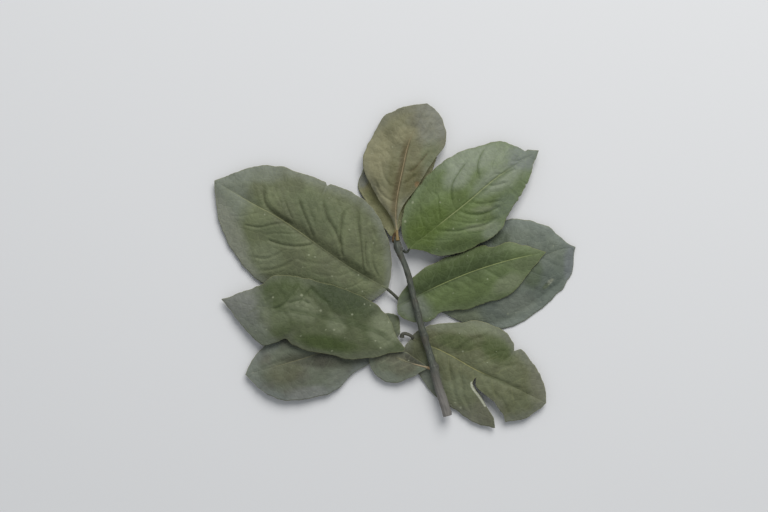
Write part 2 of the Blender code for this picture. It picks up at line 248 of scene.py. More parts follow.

# mm. left, right, bow: points along and out from the line from base to tip. rise: heights at even steps
# along the midrib, riseLeft and riseRight along the margins. stalk: x, y, height from its free end.
# stalkSize: radius there and at the blade. A vein: start, slant, bend, reach, depth. A fold: its line of x
# and y, depth, half width. A nick: side, place, depth, half width. quilt: bulge between the veins. crease:
# how far each side bends up from the midrib. troughShade, painted shade on the strip beside the midrib:
# side, width, first, last, strength. ribShown: from, to, strength. ribSunk: how much lower the midrib lies.
# valley: above 1, the blade is flatter beside it. A speck: x, y, size. A zone of colour: x, y, half length,
# half width, turn in degrees, tone, strength. Zones named for shade, light, sheen or highlight are painted.
leaves = {}
leaves["leafLeftLarge"] = {
    "node": "leaf_left_large", "slot": "olive_leaf", "grid": (270, 140), "seed": 11,
    "base": (-3.25, -11.75), "heading": 148.0, "length": 102.0,
    "left": [(3.75, 9), (9.75, 20.25), (24.75, 29), (41, 31.5), (54, 30.75), (62.75, 29.75),
             (76.5, 24.75), (88.75, 16.5), (97.5, 6.75)],
    "right": [(2.5, -6.75), (6.75, -14), (13.5, -21.75), (22, -27.5), (30.5, -31), (39.25, -31.5),
              (51.5, -29.5), (68.25, -26), (80.5, -22.25), (88.75, -16.75), (95.5, -8.75)],
    "bow": [(12, 0.6), (23.25, 0.9), (38, 0.1), (53.25, -0.9), (67, -1.2), (81.5, -0.3)],
    "rise": [3.8, 5.4, 6.4, 5.6, 2.4], "riseLeft": [3.8, 1.6, 1.2, 1.6, 2.4],
    "riseRight": [3.8, 5.2, 3.8, 3.2, 2.4],
    "stalk": [(7.5, -20.2, 1.5), (5.2, -18.9, 1.6), (2.25, -17.0, 2.0), (-0.6, -14.3, 3.0)],
    "folds": [
        ([(-66, 41), (-65, 35.5), (-63.5, 30), (-58.5, 25), (-51.5, 20.5)], 0.45, 1.1),
        ([(-59.5, 40), (-58.5, 35.5), (-56, 31)], 0.12, 0.59),
        ([(-55, 34), (-53.5, 29), (-51, 23.5)], 0.22, 0.68),
        ([(-48.5, 35), (-45.5, 27), (-43, 21), (-40.5, 15)], 0.34, 0.68),
        ([(-43.5, 33), (-42, 27), (-39.5, 21)], 0.16, 0.85),
        ([(-37.5, 35), (-35, 29), (-33, 23), (-29, 16.5), (-26.5, 10)], 0.42, 0.94),
        ([(-29, 33.5), (-27, 28.5), (-25, 25.5)], 0.16, 0.68),
        ([(-21.5, 29), (-25.5, 25.5), (-26.5, 19), (-27, 12.5), (-26, 5)], 0.5, 0.68),
        ([(-21.5, 29), (-18.5, 27), (-18, 20.5), (-17, 13), (-16, 5), (-15.5, -2)], 0.5, 0.77),
        ([(-13.5, 15), (-14.5, 8), (-13.5, -1)], 0.3, 0.85),
        ([(-12.5, 15), (-10.5, 10), (-11, 2), (-8.5, -5)], 0.26, 0.68),
        ([(-11.5, 27), (-12, 21), (-9.5, 14)], 0.14, 0.68),
        ([(-36.5, 12.5), (-41.5, 10.5), (-49, 9.5), (-56, 10.5), (-62.5, 12.5)], 0.32, 0.65),
        ([(-50.5, 22), (-59.5, 20.5), (-67, 19), (-74, 20)], 0.26, 0.6),
        ([(-53.5, 9), (-57.5, 6), (-63.5, 3.5), (-69.5, 4)], 0.24, 0.7),
        ([(-47.5, 4), (-53.5, 0.5), (-61, -2), (-67.5, -2.5)], 0.2, 0.75),
        ([(-26.5, 4.5), (-33.5, 1), (-41.5, 1.5), (-48.5, 3.5)], 0.13, 0.8),
        ([(-18.5, -2), (-25, -4.5), (-33, -5), (-40, -4)], 0.1, 0.75),
        ([(-61.5, 28), (-68.5, 26), (-76.5, 24.5), (-82, 25)], 0.12, 0.6),
        ([(-14, -6.5), (-20, -10), (-27, -12)], 0.14, 0.5),
        ([(-43.5, 17), (-50, 15.5), (-57, 16), (-64, 15.5)], 0.14, 0.5),
    ],
    "quilt": 0.22, "ribShown": (0.5, 0.8, 0.45), "marginBloomSheenShown": 0.7, "crease": (0.1, 0.9),
    "nicks": [(-1, 53.2, 1.6, 1.3)], "troughShade": (-1, 4.5, 8, 70, 0.6),
    "specks": [(-64.5, 25.3, 0.7), (-22.5, 17.8, 0.6), (-10.5, 11.3, 0.7), (-42.5, 5.3, 0.7),
               (-39.5, 4.3, 0.6), (-31, -5.2, 0.5), (-18, -4.7, 0.6), (-16, -12.7, 0.6),
               (-45.5, -0.7, 0.4), (-33.5, -9.2, 0.4), (-24, -11.2, 0.5)],
    "tones": {"face": "#6C7356", "mottle": "#61664E", "margin": "#7B7F75", "vein": "#8A8D67",
              "rib": "#92946C", "troughShade": "#424630", "stalk": "#4B4D41"},
    "zones": {
        # waxy bloom and painted sheen: the tip goes grey where it curls down
        "greyTip": (-84, 34, 13, 18, -30, "greyGreen", 0.75),
        # waxy bloom and painted sheen along the top margin
        "bloomSheenTopMargin": (-66, 46, 18, 6, 0, "greyGreen", 0.6),
        "greenUpper": (-40, 26, 17, 11, -35, "mossGreen", 0.6),
        "mossMiddle": (-58, 15.5, 14, 6, -20, "mossGreen", 0.55),
        "sageLower": (-66, 4.5, 11, 8, 0, "softSage", 0.6),
        # painted shadow of the lower left leaf, which lies over this part
        "greenLower": (-34, -12, 24, 8, -20, "mossGreen", 0.6),
        # waxy bloom and painted sheen along the left margin
        "bloomSheenLeft": (-83, 16, 26, 7.5, -65, "silverSage", 0.8),
        # painted shade beside the midrib near the stalk
        "shadeNearStalk": (-19, -1.5, 10, 3, -40, "nightGreen", 0.6),
    },
}
leaves["leafTopFront"] = {
    "node": "leaf_top_front", "slot": "brown_leaf", "grid": (190, 100), "seed": 12,
    "base": (1.25, 16.25), "heading": 76.9, "length": 66.2,
    "left": [(7, 4.75), (13.25, 11.75), (20, 18), (27, 23.25), (32.75, 25), (38.5, 24.25), (48.75, 21.75),
             (54.5, 19.75), (58.5, 15.75), (62.25, 10.75), (64.25, 5.75)],
    "right": [(4, 0.8), (9, 1), (13.5, 0.2), (20, -2.6), (27, -5.6), (34.25, -7.8), (41, -10.5),
              (47.25, -13.25), (52.25, -13), (58.5, -10.5), (63, -6.5)],
    "bow": [(8, 2.6), (16, 4), (30.25, 4.5), (46.75, 4.25)],
    "rise": [8.8, 8.4, 6.8, 5.0, 3.4], "riseLeft": [8.8, 6.2, 4.0, 3.2, 3.4],
    "riseRight": [8.8, 8.0, 6.4, 4.0, 3.4],
    "stalk": [(1.5, 12.4, 10.15), (1.3, 14.2, 9.75)], "stalkSize": (1.0, 0.75),
    "folds": [
        ([(8, 58.5), (12, 62.5), (16, 66), (18, 70)], 0.24, 0.7),
        ([(4.5, 47), (8.5, 47), (12.5, 51), (16.5, 56)], 0.3, 0.75),
        ([(3.5, 40), (7.5, 42), (10, 44.5)], 0.26, 0.77),
        ([(6.5, 57), (2.5, 53), (0.5, 47)], 0.14, 0.85),
        ([(1, 38), (-2.5, 40), (-5.5, 45), (-6.5, 51)], 0.22, 0.77),
        ([(1, 31), (-3.5, 33), (-7.5, 37), (-9.5, 42)], 0.24, 0.68),
        ([(6.5, 60), (2.5, 63), (-1.5, 67)], 0.12, 0.85),
        ([(8.5, 66), (5, 70), (1.5, 72.5)], 0.1, 0.77),
        ([(4, 50.5), (-0.5, 53), (-4.5, 57), (-8.5, 60)], 0.12, 0.77),
        ([(9, 68), (13, 71), (16, 74)], 0.12, 0.68),
        ([(2, 29), (5, 31.5), (7.5, 35)], 0.16, 0.68),
    ],
    "quilt": 0.1, "ribShown": (0.0, 0.62, 0.6), "marginBloomSheenShown": 0.4, "crease": (0.7, 0.15),
    "troughShade": (1, 3.0, 8, 46, 0.75),
    "specks": [(-1, 58.8, 0.5), (-7.5, 53.8, 0.4)],
    "tones": {"face": "#77775C", "mottle": "#6D6C53", "margin": "#7A7C74", "vein": "#908868",
              "rib": "#AC9B7C", "troughShade": "#534931", "stalk": "#83704B"},
    "zones": {
        "greenGreyRight": (18, 56, 6, 11, -10, "oliveGreen", 0.65),
        # waxy bloom and painted sheen: the top goes grey where it curves down
        "greyTop": (18, 71, 13, 13, 0, "ashGrey", 0.5),
        "strawFringe": (-14, 48, 4, 15, 5, "straw", 0.5),
        "paleMiddle": (-9, 48, 4, 7, 10, "straw", 0.5),
        "redSpot": (11, 40.3, 1.6, 1.8, 0, "rust", 0.7),
        "strawLow": (-5, 32, 5, 9, 25, "straw", 0.55),
        "paleLeft": (-8, 58, 8, 12, -10, "straw", 0.65),
        "oliveRight": (9, 42, 6, 10, -20, "umberGreen", 0.7),
        "paleUpper": (5, 65, 9, 5, 20, "straw", 0.6),
        "darkByRib": (-1, 43, 3, 12, 0, "umberGreen", 0.5),
    },
}
leaves["leafTopBack"] = {
    "node": "leaf_top_back", "slot": "brown_leaf", "grid": (120, 70), "seed": 13,
    "base": (0.25, 15.25), "heading": 86.4, "length": 55.6,
    "left": [(-0.25, 2.8), (6.5, 8), (16, 15.5), (21.25, 19.5), (25.75, 19.75), (34, 17.75),
             (45.75, 13.5), (53.25, 6.75)],
    "right": [(3.75, -2.25), (12, -5.75), (25.25, -13), (35.75, -17.25), (42.75, -18.25), (49.5, -15),
              (54, -8)],
    "bow": [(17.5, 1), (37.5, 1.25)],
    "rise": [5.2, 3.4, 2.4, 1.8, 1.2], "riseLeft": [5.2, 2.2, -1.2, -0.4, 1.2],
    "riseRight": [5.2, 3.0, 1.0, 0.6, 1.2],
    "stalk": [(-0.2, 12.0, 8.0), (-0.4, 13.6, 6.8)], "stalkSize": (1.2, 1.0),
    "veinsLeft": [(8, 1, 0, 8, 0.12), (16, 1, 0, 14, 0.12), (25, 1, 0, 15, 0.12), (34, 1, 0, 12, 0.12)],
    "veinsRight": [(10, 1, 0, 5, 0.12), (19, 1, 0, 9, 0.12), (28, 1, 0, 12, 0.12), (38, 1, 0, 12, 0.12)],
    "quilt": 0.1, "ribShown": (0.0, 0.6, 0.4), "marginBloomSheenShown": 0.6, "crease": (0.2, 0.2),
    "troughShade": (1, 1.5, 8, 40, 0.3),
    "tones": {"face": "#8F8F64", "mottle": "#817D5B", "margin": "#97997C", "vein": "#84825B",
              "rib": "#9C8A58", "troughShade": "#5A5843", "stalk": "#5C4A36"},
    "zones": {
        "brownCurl": (-2.5, 13.5, 4, 4, 0, "khaki", 0.6),
        # waxy bloom and painted sheen along the left edge
        "bloomSheenEdge": (-16.5, 43, 4, 6, 0, "ashGrey", 0.75),
        # painted shade on the narrow strip between the front leaf and the left large leaf
        "shadeUnderFront": (-12, 34, 3, 6, 30, "bottleGreen", 0.35),
        # painted shade beside the edge of the left large leaf
        "shadeByLeftLarge": (-6.5, 22, 4, 8, 25, "umberGreen", 0.3),
    },
}
leaves["leafUpperRight"] = {
    "node": "leaf_upper_right", "slot": "green_leaf", "grid": (230, 116), "seed": 14,
    "base": (6.75, 8.25), "heading": 37.0, "length": 81.4,
    "left": [(2, 7.75), (7.25, 14.5), (14.5, 19.25), (28.25, 23.25), (38.25, 24.25), (49.75, 23),
             (59.75, 19.5), (69, 15), (72.25, 11), (75.5, 5.5)],
    "right": [(4.5, -4), (8.75, -10), (13.75, -14.75), (22.25, -18), (30.5, -19.5), (36.5, -20.5),
              (43.25, -20), (49.75, -16.25), (59, -13.25), (65, -10.75), (71.25, -6.75), (76.5, -3.25)],
    "bow": [(15.5, 0.3), (37.5, 0.9), (57.5, 1.8)],
    "rise": [8.2, 9.4, 9.2, 7.2, 3.6], "riseLeft": [8.2, 6.4, 4.8, 3.8, 3.6],
    "riseRight": [8.2, 7.2, 6.6, 5.2, 3.6],
    "stalk": [(4.5, 7.6, 8.6), (5.2, 6.7, 8.3), (6.5, 6.9, 8.2)], "stalkSize": (0.75, 0.6),
    "folds": [
        ([(29, 28), (28, 34), (28.5, 40), (31.5, 45.5), (35.5, 51)], 0.32, 0.65),
        ([(41.5, 42), (41, 48), (42, 53), (45, 58.5)], 0.32, 0.65),
        ([(47.5, 47), (49, 52.5), (52, 57.5)], 0.2, 0.58),
        ([(22.5, 22.5), (21.5, 29), (21.5, 33.5), (19, 36.5)], 0.18, 0.58),
        ([(34.5, 33.5), (35.5, 39.5), (37.5, 44.5)], 0.11, 0.58),
        ([(54, 51.5), (56, 55.5), (59, 59)], 0.15, 0.58),
        ([(15, 18), (13, 24), (12.5, 30)], 0.11, 0.65),
        ([(60, 56), (62.5, 59), (65, 60.5)], 0.11, 0.5),
        ([(30.5, 27.5), (36.5, 25.5), (43.5, 25.5), (51.5, 29)], 0.3, 0.75),
        ([(25, 22.5), (32.5, 21.5), (39.5, 21), (50, 23.5)], 0.15, 0.58),
        ([(19, 17.5), (25.5, 17), (31.5, 17), (37.5, 18.5), (44.5, 20), (51, 23.5)], 0.22, 0.72),
        ([(35.5, 31.5), (43, 30.5), (52.5, 32)], 0.18, 0.7),
        ([(42.5, 40), (48.5, 39.5), (55, 41)], 0.24, 0.75),
        ([(13.5, 13.5), (20.5, 12.5), (28.5, 13)], 0.12, 0.58),
        ([(48.5, 45.5), (54, 45.5), (59.5, 47.5)], 0.18, 0.58),
        ([(56.5, 51.5), (61.5, 52), (65.5, 54)], 0.11, 0.5),
    ],
    "quilt": 0.32, "ribShown": (0.3, 0.66, 0.5), "marginBloomSheenShown": 0.15, "crease": (0.45, 0.2),
    "nicks": [(-1, 59.5, 0.9, 1.2), (-1, 66, 0.7, 1.0), (1, 76, 1.0, 1.2)],
    "troughShade": (-1, 2.2, 26, 66, 0.5),
    "specks": [(9, 31.3, 0.9), (5.2, 21.8, 1), (29, 18.3, 0.6), (22.5, 31.3, 0.6), (21, 8.3, 0.4)],
    "tones": {"face": "#687750", "mottle": "#5D6A46", "margin": "#858C85", "vein": "#8F9F69",
              "rib": "#A1A678", "troughShade": "#45552A", "stalk": "#3A3E35"},
    "zones": {
        # painted highlight on the lower right edge
        "highlightLowerEdge": (47.5, 17.5, 7, 4, 50, "paleSage", 0.6),
        # painted highlight on a pad between the veins
        "highlightLowerPad": (41, 19, 8, 2.2, 5, "softSage", 0.6),
        # painted highlight on a pad between the veins
        "highlightMiddlePad": (43.5, 28, 8, 1.8, 5, "softSage", 0.55),
        "deepGreenBase": (11, 14, 9, 12, 30, "vividGreen", 0.65),
        "brightMiddle": (30, 29, 17, 10, 37, "leafGreen", 0.5),
        "vividMiddle": (18, 22, 13, 10, 20, "vividGreen", 0.6),
        "deepLower": (34, 10, 17, 4.5, 8, "bottleGreen", 0.65),
        # painted sheen: the upper part paler, the sky reflected in the wax
        "paleTop": (40, 54, 22, 8, 15, "paleSage", 0.8),
        # painted sheen on the upper left
        "sheenUpperLeft": (31, 44, 10, 7, 35, "paleSage", 0.75),
        # painted sheen on the upper middle
        "sheenUpperMiddle": (52, 44, 17, 8, 30, "paleSage", 0.8),
        # painted sheen towards the tip on the right side
        "sheenLowerRight": (54, 30, 10, 6, 45, "slateGreen", 0.45),
        # painted sheen at the tip
        "sheenTip": (66, 55, 12, 8, 20, "blueGrey", 0.6),
    },
}
leaves["leafMidRight"] = {
    "node": "leaf_mid_right", "slot": "green_leaf", "grid": (190, 80), "seed": 15,
    "base": (1.25, -20.25), "heading": 20.0, "length": 78.8,
    "left": [(2.75, 4.25), (8.5, 8.5), (16.75, 12.5), (28, 14.25), (38.75, 14), (48.25, 14.25),
             (55.25, 11.5), (63, 11), (70.5, 6.25)],
    "right": [(-0.5, -4.5), (3.5, -9.25), (10, -12.25), (15.25, -12), (20.75, -10.25), (32, -13.25),
              (42, -13.5), (52.25, -14.25), (61, -11), (68.75, -6)],
    "bow": [(18.5, 2.25), (40, 3.5), (61, 2.5)],
    "rise": [4.2, 5.0, 7.2, 7.2, 4.8], "riseLeft": [4.2, 4.2, 5.2, 5.9, 4.8],
    "riseRight": [4.2, 3.8, 4.7, 5.5, 4.8],
    "veinsLeft": [(8, 1, 0, 8, 0.1), (17, 1, 0, 10, 0.12), (27, 1, 0, 11, 0.12), (37, 1, 0, 11, 0.12),
                  (47, 0.9, 0, 10, 0.12), (57, 0.9, 0, 8, 0.1)],
    "veinsRight": [(6, 0.9, 0.01, 9, 0.12), (15, 0.9, 0.01, 9, 0.14), (25, 0.9, 0.01, 10, 0.16),
                   (36, 0.9, 0.01, 11, 0.16), (46, 0.9, 0.01, 11, 0.14), (56, 0.9, 0.01, 10, 0.1)],
    "folds": [
        ([(28.5, -6.5), (34.5, -9), (40.5, -13)], 0.1, 0.77),
        ([(40.5, -1), (46.5, -3), (52.5, -7)], 0.1, 0.77),
        ([(50.5, 3.5), (56.5, 2), (61.5, -1)], 0.1, 0.68),
        ([(30, -5), (32.5, -1), (37.5, 3.5)], 0.12, 0.77),
        ([(42.5, 0.5), (45.5, 4.5), (50.5, 8)], 0.1, 0.77),
        ([(17.5, -11), (20.5, -7), (24.5, -3.5)], 0.1, 0.77),
    ],
    "quilt": 0.08, "ribShown": (0.3, 0.8, 0.8), "marginBloomSheenShown": 0.3, "crease": (0.9, 0.2),
    "troughShade": (1, 8.0, 2, 60, 0.5),
    "specks": [(46, -6.7, 0.6), (29, -13.7, 0.5), (17.5, -26.2, 0.5)],
    "tones": {"face": "#5F6D48", "mottle": "#54613D", "margin": "#757E64", "vein": "#75865E",
              "rib": "#899360", "troughShade": "#354128", "stalk": "#474E36"},
    "zones": {
        # painted shade on the upper half, beside the midrib
        "darkUpper": (28, -1, 26, 5, 18, "bottleGreen", 0.6),
        # painted shade on the upper half towards the tip
        "shadeUpperTip": (44, 8.5, 12, 4, 15, "bottleGreen", 0.55),
        # painted light: the lower half lighter, as it faces the lamp
        "litLowerHalf": (30, -14, 26, 7, 14, "freshGreen", 0.6),
        "greyBase": (9, -20, 12, 9, -20, "greyGreen", 0.8),
        "darkTip": (64, 1, 9, 3.5, 10, "mossGreen", 0.65),
        "paleTipLower": (56, -9, 9, 5, 28, "softSage", 0.7),
    },
}
leaves["leafRightDark"] = {
    "node": "leaf_right_dark", "slot": "dark_leaf", "grid": (160, 90), "seed": 16,
    "base": (17.75, -23.25), "heading": 24.1, "length": 79.5,
    "left": [(4.25, 8.5), (13.5, 17), (26.25, 24.5), (39.5, 27.25), (53.5, 26.5), (64.25, 21.25),
             (72, 13.75), (76.25, 4)],
    "right": [(5.75, -3), (11.5, -10), (19.75, -17), (28.5, -22), (38.75, -23.5), (52, -21), (65, -16.5),
              (73.5, -10), (77.25, -3)],
    "bow": [(22.75, 1.75), (50, 1.75), (69.5, 2.25)],
    "rise": [1.1, 2.2, 3.8, 3.6, 1.2], "riseLeft": [1.1, 0.6, 1.0, 1.8, 1.2],
    "riseRight": [1.1, -0.4, -2.6, -1.6, 1.2],
    "stalk": [(14.2, -20.6, 1.5)],
    "veinsLeft": [(10, 0.9, 0.01, 18, 0.12), (20, 0.9, 0.01, 21, 0.12), (31, 0.9, 0.01, 21, 0.14),
                  (42, 0.9, 0.01, 20, 0.14), (53, 0.8, 0.01, 16, 0.12), (63, 0.8, 0.01, 11, 0.1)],
    "veinsRight": [(9, 0.9, 0.01, 14, 0.14), (18, 0.9, 0.01, 18, 0.14), (28, 0.9, 0.01, 19, 0.14),
                   (39, 0.9, 0.01, 18, 0.14), (50, 0.9, 0.01, 15, 0.12), (61, 0.8, 0.01, 10, 0.1)],
    "folds": [
        ([(75.5, -5.5), (78, -8), (80.5, -11)], 0.2, 0.51),
        ([(80.5, -5.5), (78, -8), (75, -10)], 0.2, 0.51),
        ([(67.5, 2), (71.5, -2), (77, -5)], 0.1, 0.85),
        ([(62.5, -15), (68.5, -17), (72.5, -21)], 0.08, 0.85),
    ],
    "quilt": 0.1, "ribShown": (0.5, 0.85, 0.3), "marginBloomSheenShown": 0.6, "crease": (0.25, 0.25),
    "troughShade": (1, 1.2, 10, 66, 0.3),
    "specks": [(78.4, -7.2, 0.6), (76.9, -9.4, 0.5), (56.5, -24.2, 0.7), (79, 9.8, 0.5), (61.5, 12.3, 0.4)],
    "tones": {"face": "#6B7367", "mottle": "#626A62", "margin": "#7B837C", "vein": "#7B8579",
              "rib": "#8C9481", "troughShade": "#5A6459", "stalk": "#4C504A"},
    "zones": {
        # waxy bloom and painted sheen on the right part
        "bloomSheenRight": (78, -10, 12, 14, 0, "slateGreen", 0.6),
        "paleBlemish": (77.4, -7.9, 2.4, 1.1, 40, "palePoint", 0.6),
        "darkByBlemish": (75.3, -10.2, 2.6, 1.3, 40, "mossGreen", 0.6),
        "oliveNearTorn": (35, -25, 12, 6, 0, "softSage", 0.7),
        "shadeByUpper": (52, 13, 6, 5, 0, "nightGreen", 0.6),
        # waxy bloom and painted sheen along the tip edge
        "bloomSheenTipEdge": (88, 0, 4, 15, 0, "blueGrey", 0.7),
        "paleGreyLow": (60, -19, 13, 6, 15, "greyGreen", 0.6),
        "deepGreenMiddle": (69, -4, 5, 9, -10, "bottleGreen", 0.45),
    },
}
leaves["leafLowerLeft"] = {
    "node": "leaf_lower_left", "slot": "green_leaf", "grid": (210, 100), "seed": 17,
    "base": (5.25, -41.25), "heading": 165.0, "length": 94.7,
    "left": [(1, 1.9), (6.75, 4), (15.75, 9), (27.75, 12.5), (36.5, 12.5), (45.5, 13.5), (53.5, 12.75),
             (58.75, 10.75), (63.5, 14.25), (69, 16.5), (76.75, 13.25), (85.75, 6.5)],
    "right": [(6, -5), (10.75, -11.5), (19, -17.25), (33, -20.5), (49.75, -21.25), (65, -20.25),
              (73.5, -17.5), (77.25, -12), (86.75, -5.5), (90.75, -2.25)],
    "bow": [(19.25, -4.75), (50.25, -4.25), (75.5, -1.5)],
    "rise": [5.8, 8.6, 9.6, 7.6, 2.6], "riseLeft": [5.8, 6.8, 6.6, 4.2, 2.6],
    "riseRight": [5.8, 5.6, 7.2, 5.2, 2.6],
    "veinsLeft": [(9, 0.8, 0.01, 8, 0.056), (20, 0.8, 0.01, 10, 0.056), (31, 0.8, 0.01, 12, 0.064),
                  (42, 0.8, 0.01, 12, 0.064), (53, 0.8, 0.01, 12, 0.064), (64, 0.8, 0.01, 12, 0.056),
                  (76, 0.8, 0.01, 8, 0.04)],
    "veinsRight": [(7, 0.7, 0.01, 11, 0.06), (17, 0.7, 0.01, 15, 0.08), (27, 0.7, 0.01, 17, 0.096),
                   (38, 0.7, 0.01, 17, 0.112), (49, 0.7, 0.01, 17, 0.12), (60, 0.7, 0.01, 14, 0.104),
                   (71, 0.7, 0.01, 9, 0.056)],
    "folds": [
        ([(-39.5, -10.5), (-44.5, -14.5), (-47.5, -19)], 0.42, 0.77),
        ([(-47.5, -8), (-51, -14), (-55.5, -19.5), (-59.5, -21.5)], 0.45, 0.77),
        ([(-55.5, -9.5), (-59, -14.5), (-63.5, -17.5)], 0.25, 0.77),
        ([(-31.5, -20), (-37.5, -15.5), (-41.5, -11)], 0.3, 0.85),
        ([(-56, -22.5), (-52, -26.5), (-53.5, -33)], 0.2, 0.77),
        ([(-40.5, -20), (-46, -17), (-52.5, -18.5)], 0.3, 0.77),
        ([(-37.5, -29.5), (-42.5, -34), (-46.5, -39.5)], 0.12, 0.85),
        ([(-22.5, -32), (-26.5, -27), (-30.5, -23)], 0.16, 0.85),
        ([(-9.5, -26), (-12.5, -21), (-16.5, -16.5)], 0.12, 0.85),
        ([(-17.5, -34.5), (-21.5, -38.5), (-25, -43)], 0.1, 0.85),
        ([(-66.5, -21), (-66.5, -26), (-64.5, -32)], 0.1, 0.85),
    ],
    "quilt": 0.14, "ribShown": (0.55, 0.8, 0.08), "marginBloomSheenShown": 0.4, "crease": (0.05, 0.12),
    "troughShade": (-1, 2.0, 10, 70, 0.45), "ribSunk": 0.16, "valley": 2,
    "specks": [(-60.2, -15.7, 0.8), (-46, -14.7, 0.9), (-36.5, -22.2, 0.9), (-21, -24.2, 0.8),
               (-30, -31.7, 0.8), (-34, -31.7, 0.5), (-46.5, -34.7, 0.6), (-15, -19.2, 0.6),
               (-12, -19.7, 0.5), (-9.5, -37.2, 0.6), (-7, -40.7, 0.7), (-31, -42.2, 0.7),
               (-63.5, -31.7, 0.6), (-3, -28.2, 0.5), (-24.5, -35.7, 0.4)],
    "tones": {"face": "#5B6248", "mottle": "#515B3E", "margin": "#6D7063", "vein": "#697250",
              "rib": "#767A55", "troughShade": "#445033", "stalk": "#495036"},
    "zones": {
        # waxy bloom and painted sheen: the tip goes grey where it curls down
        "greyTip": (-88, -17, 31, 17, -15, "ashGrey", 0.8),
        # painted shade in the dip of the upper middle
        "shadeUpperMiddle": (-26, -15.5, 20, 9.5, -26, "nightGreen", 0.9),
        "litPatch": (-47, -21, 10, 7, -20, "softSage", 0.65),
        "litPatchRight": (-29, -29, 6, 5, -30, "softSage", 0.65),
        "lightEnd": (-5, -33, 10, 9, -30, "softSage", 0.75),
        # waxy bloom and painted sheen along the lower margin near the tip
        "bloomSheenLowerTip": (-70, -33, 15, 7, -40, "greyGreen", 0.5),
        "deepGreenEdge": (-52, -8, 8, 5, 0, "bottleGreen", 0.4),
        "deepGreenLower": (-34, -38.5, 16, 4.5, -10, "bottleGreen", 0.75),
        "paleStreak": (-60, -25, 9, 7, -10, "softSage", 0.45),
    },
}
leaves["leafBottomLeft"] = {
    "node": "leaf_bottom_left", "slot": "dark_leaf", "grid": (160, 80), "seed": 18,
    "base": (2.75, -34.25), "heading": -165.4, "length": 79.6,
    "left": [(9.25, 5.75), (19.25, 10.5), (28.25, 13.25), (35.75, 18), (44, 20), (56.75, 19.25),
             (66.25, 16.25), (73.75, 9.75)],
    "right": [(-1.2, -4.75), (-0.8, -9.75), (7, -13.25), (21.5, -17), (39.25, -18), (52.5, -16.75),
              (65, -12.25), (74.25, -6.5)],
    "bow": [(25.25, -2), (50, -0.5)],
    "rise": [1.1, 1.8, 3.2, 3.4, 3.0], "riseLeft": [1.1, 1.6, 3.0, 3.8, 3.0],
    "riseRight": [1.1, -2.2, 0.2, 1.0, 3.0],
    "veinsLeft": [(10, 0.9, 0.01, 8, 0.1), (21, 0.9, 0.01, 11, 0.1), (32, 0.9, 0.01, 14, 0.12),
                  (43, 0.9, 0.01, 15, 0.12), (54, 0.9, 0.01, 13, 0.1), (64, 0.8, 0.01, 9, 0.08)],
    "veinsRight": [(10, 0.9, 0.01, 10, 0.1), (20, 0.9, 0.01, 13, 0.1), (31, 0.9, 0.01, 15, 0.1),
                   (42, 0.9, 0.01, 15, 0.1), (53, 0.9, 0.01, 13, 0.1), (63, 0.8, 0.01, 9, 0.08)],
    "folds": [
        ([(-46.5, -48), (-52.5, -47), (-59.5, -48.5), (-66.5, -51)], 0.12, 0.85),
    ],
    "quilt": 0.06, "ribShown": (0.3, 0.7, 0.35), "marginBloomSheenShown": 0.7, "crease": (0.2, 0.2),
    "troughShade": (1, 1.0, 10, 60, 0.3),
    "tones": {"face": "#686E5F", "mottle": "#5F6055", "margin": "#757B79", "vein": "#737965",
              "rib": "#918B69", "troughShade": "#575B50", "stalk": "#4A4A3B"},
    "zones": {
        "umberPatch": (-54, -53, 11, 7, 10, "umberGreen", 0.4),
        # waxy bloom and painted sheen along the left margin
        "bloomSheenLeftMargin": (-72, -53, 6, 12, 0, "greyGreen", 0.6),
        "greyRight": (-27, -57, 8, 7, 20, "greyGreen", 0.55),
        "paleTopEdge": (-64, -40, 5, 4, -30, "greyGreen", 0.5),
        "mossCorner": (-1, -29, 6, 8, 0, "mossGreen", 0.75),
        "paleFold": (1.5, -28.5, 1.3, 6, 5, "oliveGreen", 0.65),
        # waxy bloom and painted sheen along the lower margin
        "bloomSheenLowerMargin": (-43, -64.5, 13, 5, 0, "ashGrey", 0.7),
        "shadedTop": (-40, -47.5, 18, 3.5, -5, "darkUmber", 0.55),
    },
}
leaves["leafSmall"] = {
    "node": "leaf_small", "slot": "dark_leaf", "grid": (100, 60), "seed": 19,
    "base": (17.0, -50.9), "heading": 166.4, "length": 31.2,
    "left": [(3, 2.6), (8.25, 7.4), (15.25, 11.6), (22.5, 11), (27.5, 7.25)],
    "right": [(6, -2.6), (14.5, -5.4), (23, -5.6), (29.0, -3.2)],
    "bow": [(10.25, -0.25), (21, -1.5)],
    "rise": [4.4, 4.2, 4.0, 3.6, 3.0], "riseLeft": [4.4, 3.4, 2.8, 2.6, 3.0],
    "riseRight": [4.4, 3.9, 3.5, 3.1, 3.0],
    "stalk": [(19.4, -51.3, 7.0), (18.3, -51.1, 6.0)], "stalkSize": (1.1, 0.9),
    "veinsLeft": [(4, 1, 0, 5, -0.08), (9, 1, 0, 8, -0.08), (14, 1, 0, 8, -0.08), (19, 1, 0, 7, -0.08)],
    "veinsRight": [(5, 1, 0, 3.5, -0.06), (11, 1, 0, 4, -0.06), (17, 1, 0, 4, -0.06), (23, 1, 0, 3, -0.06)],
    "quilt": -0.04, "ribShown": (0.0, 0.16, 0.8), "marginBloomSheenShown": 0.5, "crease": (-0.1, -0.1),
    "troughShade": (1, 0.8, 2, 24, 0.2),
    "specks": [(7, -47.2, 0.5)],
    "tones": {"face": "#727B67", "mottle": "#656656", "margin": "#767E73", "vein": "#94967D",
              "rib": "#AC9A7E", "troughShade": "#5D6151", "stalk": "#978163"},
    "zones": {
        # waxy bloom and painted sheen along the lower margin
        "greyLower": (-5, -56, 10, 4, 0, "greyGreen", 0.5),
        "lightStreak": (4, -47, 4, 0.8, -20, "straw", 0.6),
        # painted shade on the upper half, under the lower left leaf and beside the stem
        "shadeOnUpperHalf": (9, -46.4, 9, 3.2, -20, "darkUmber", 0.8),
    },
}
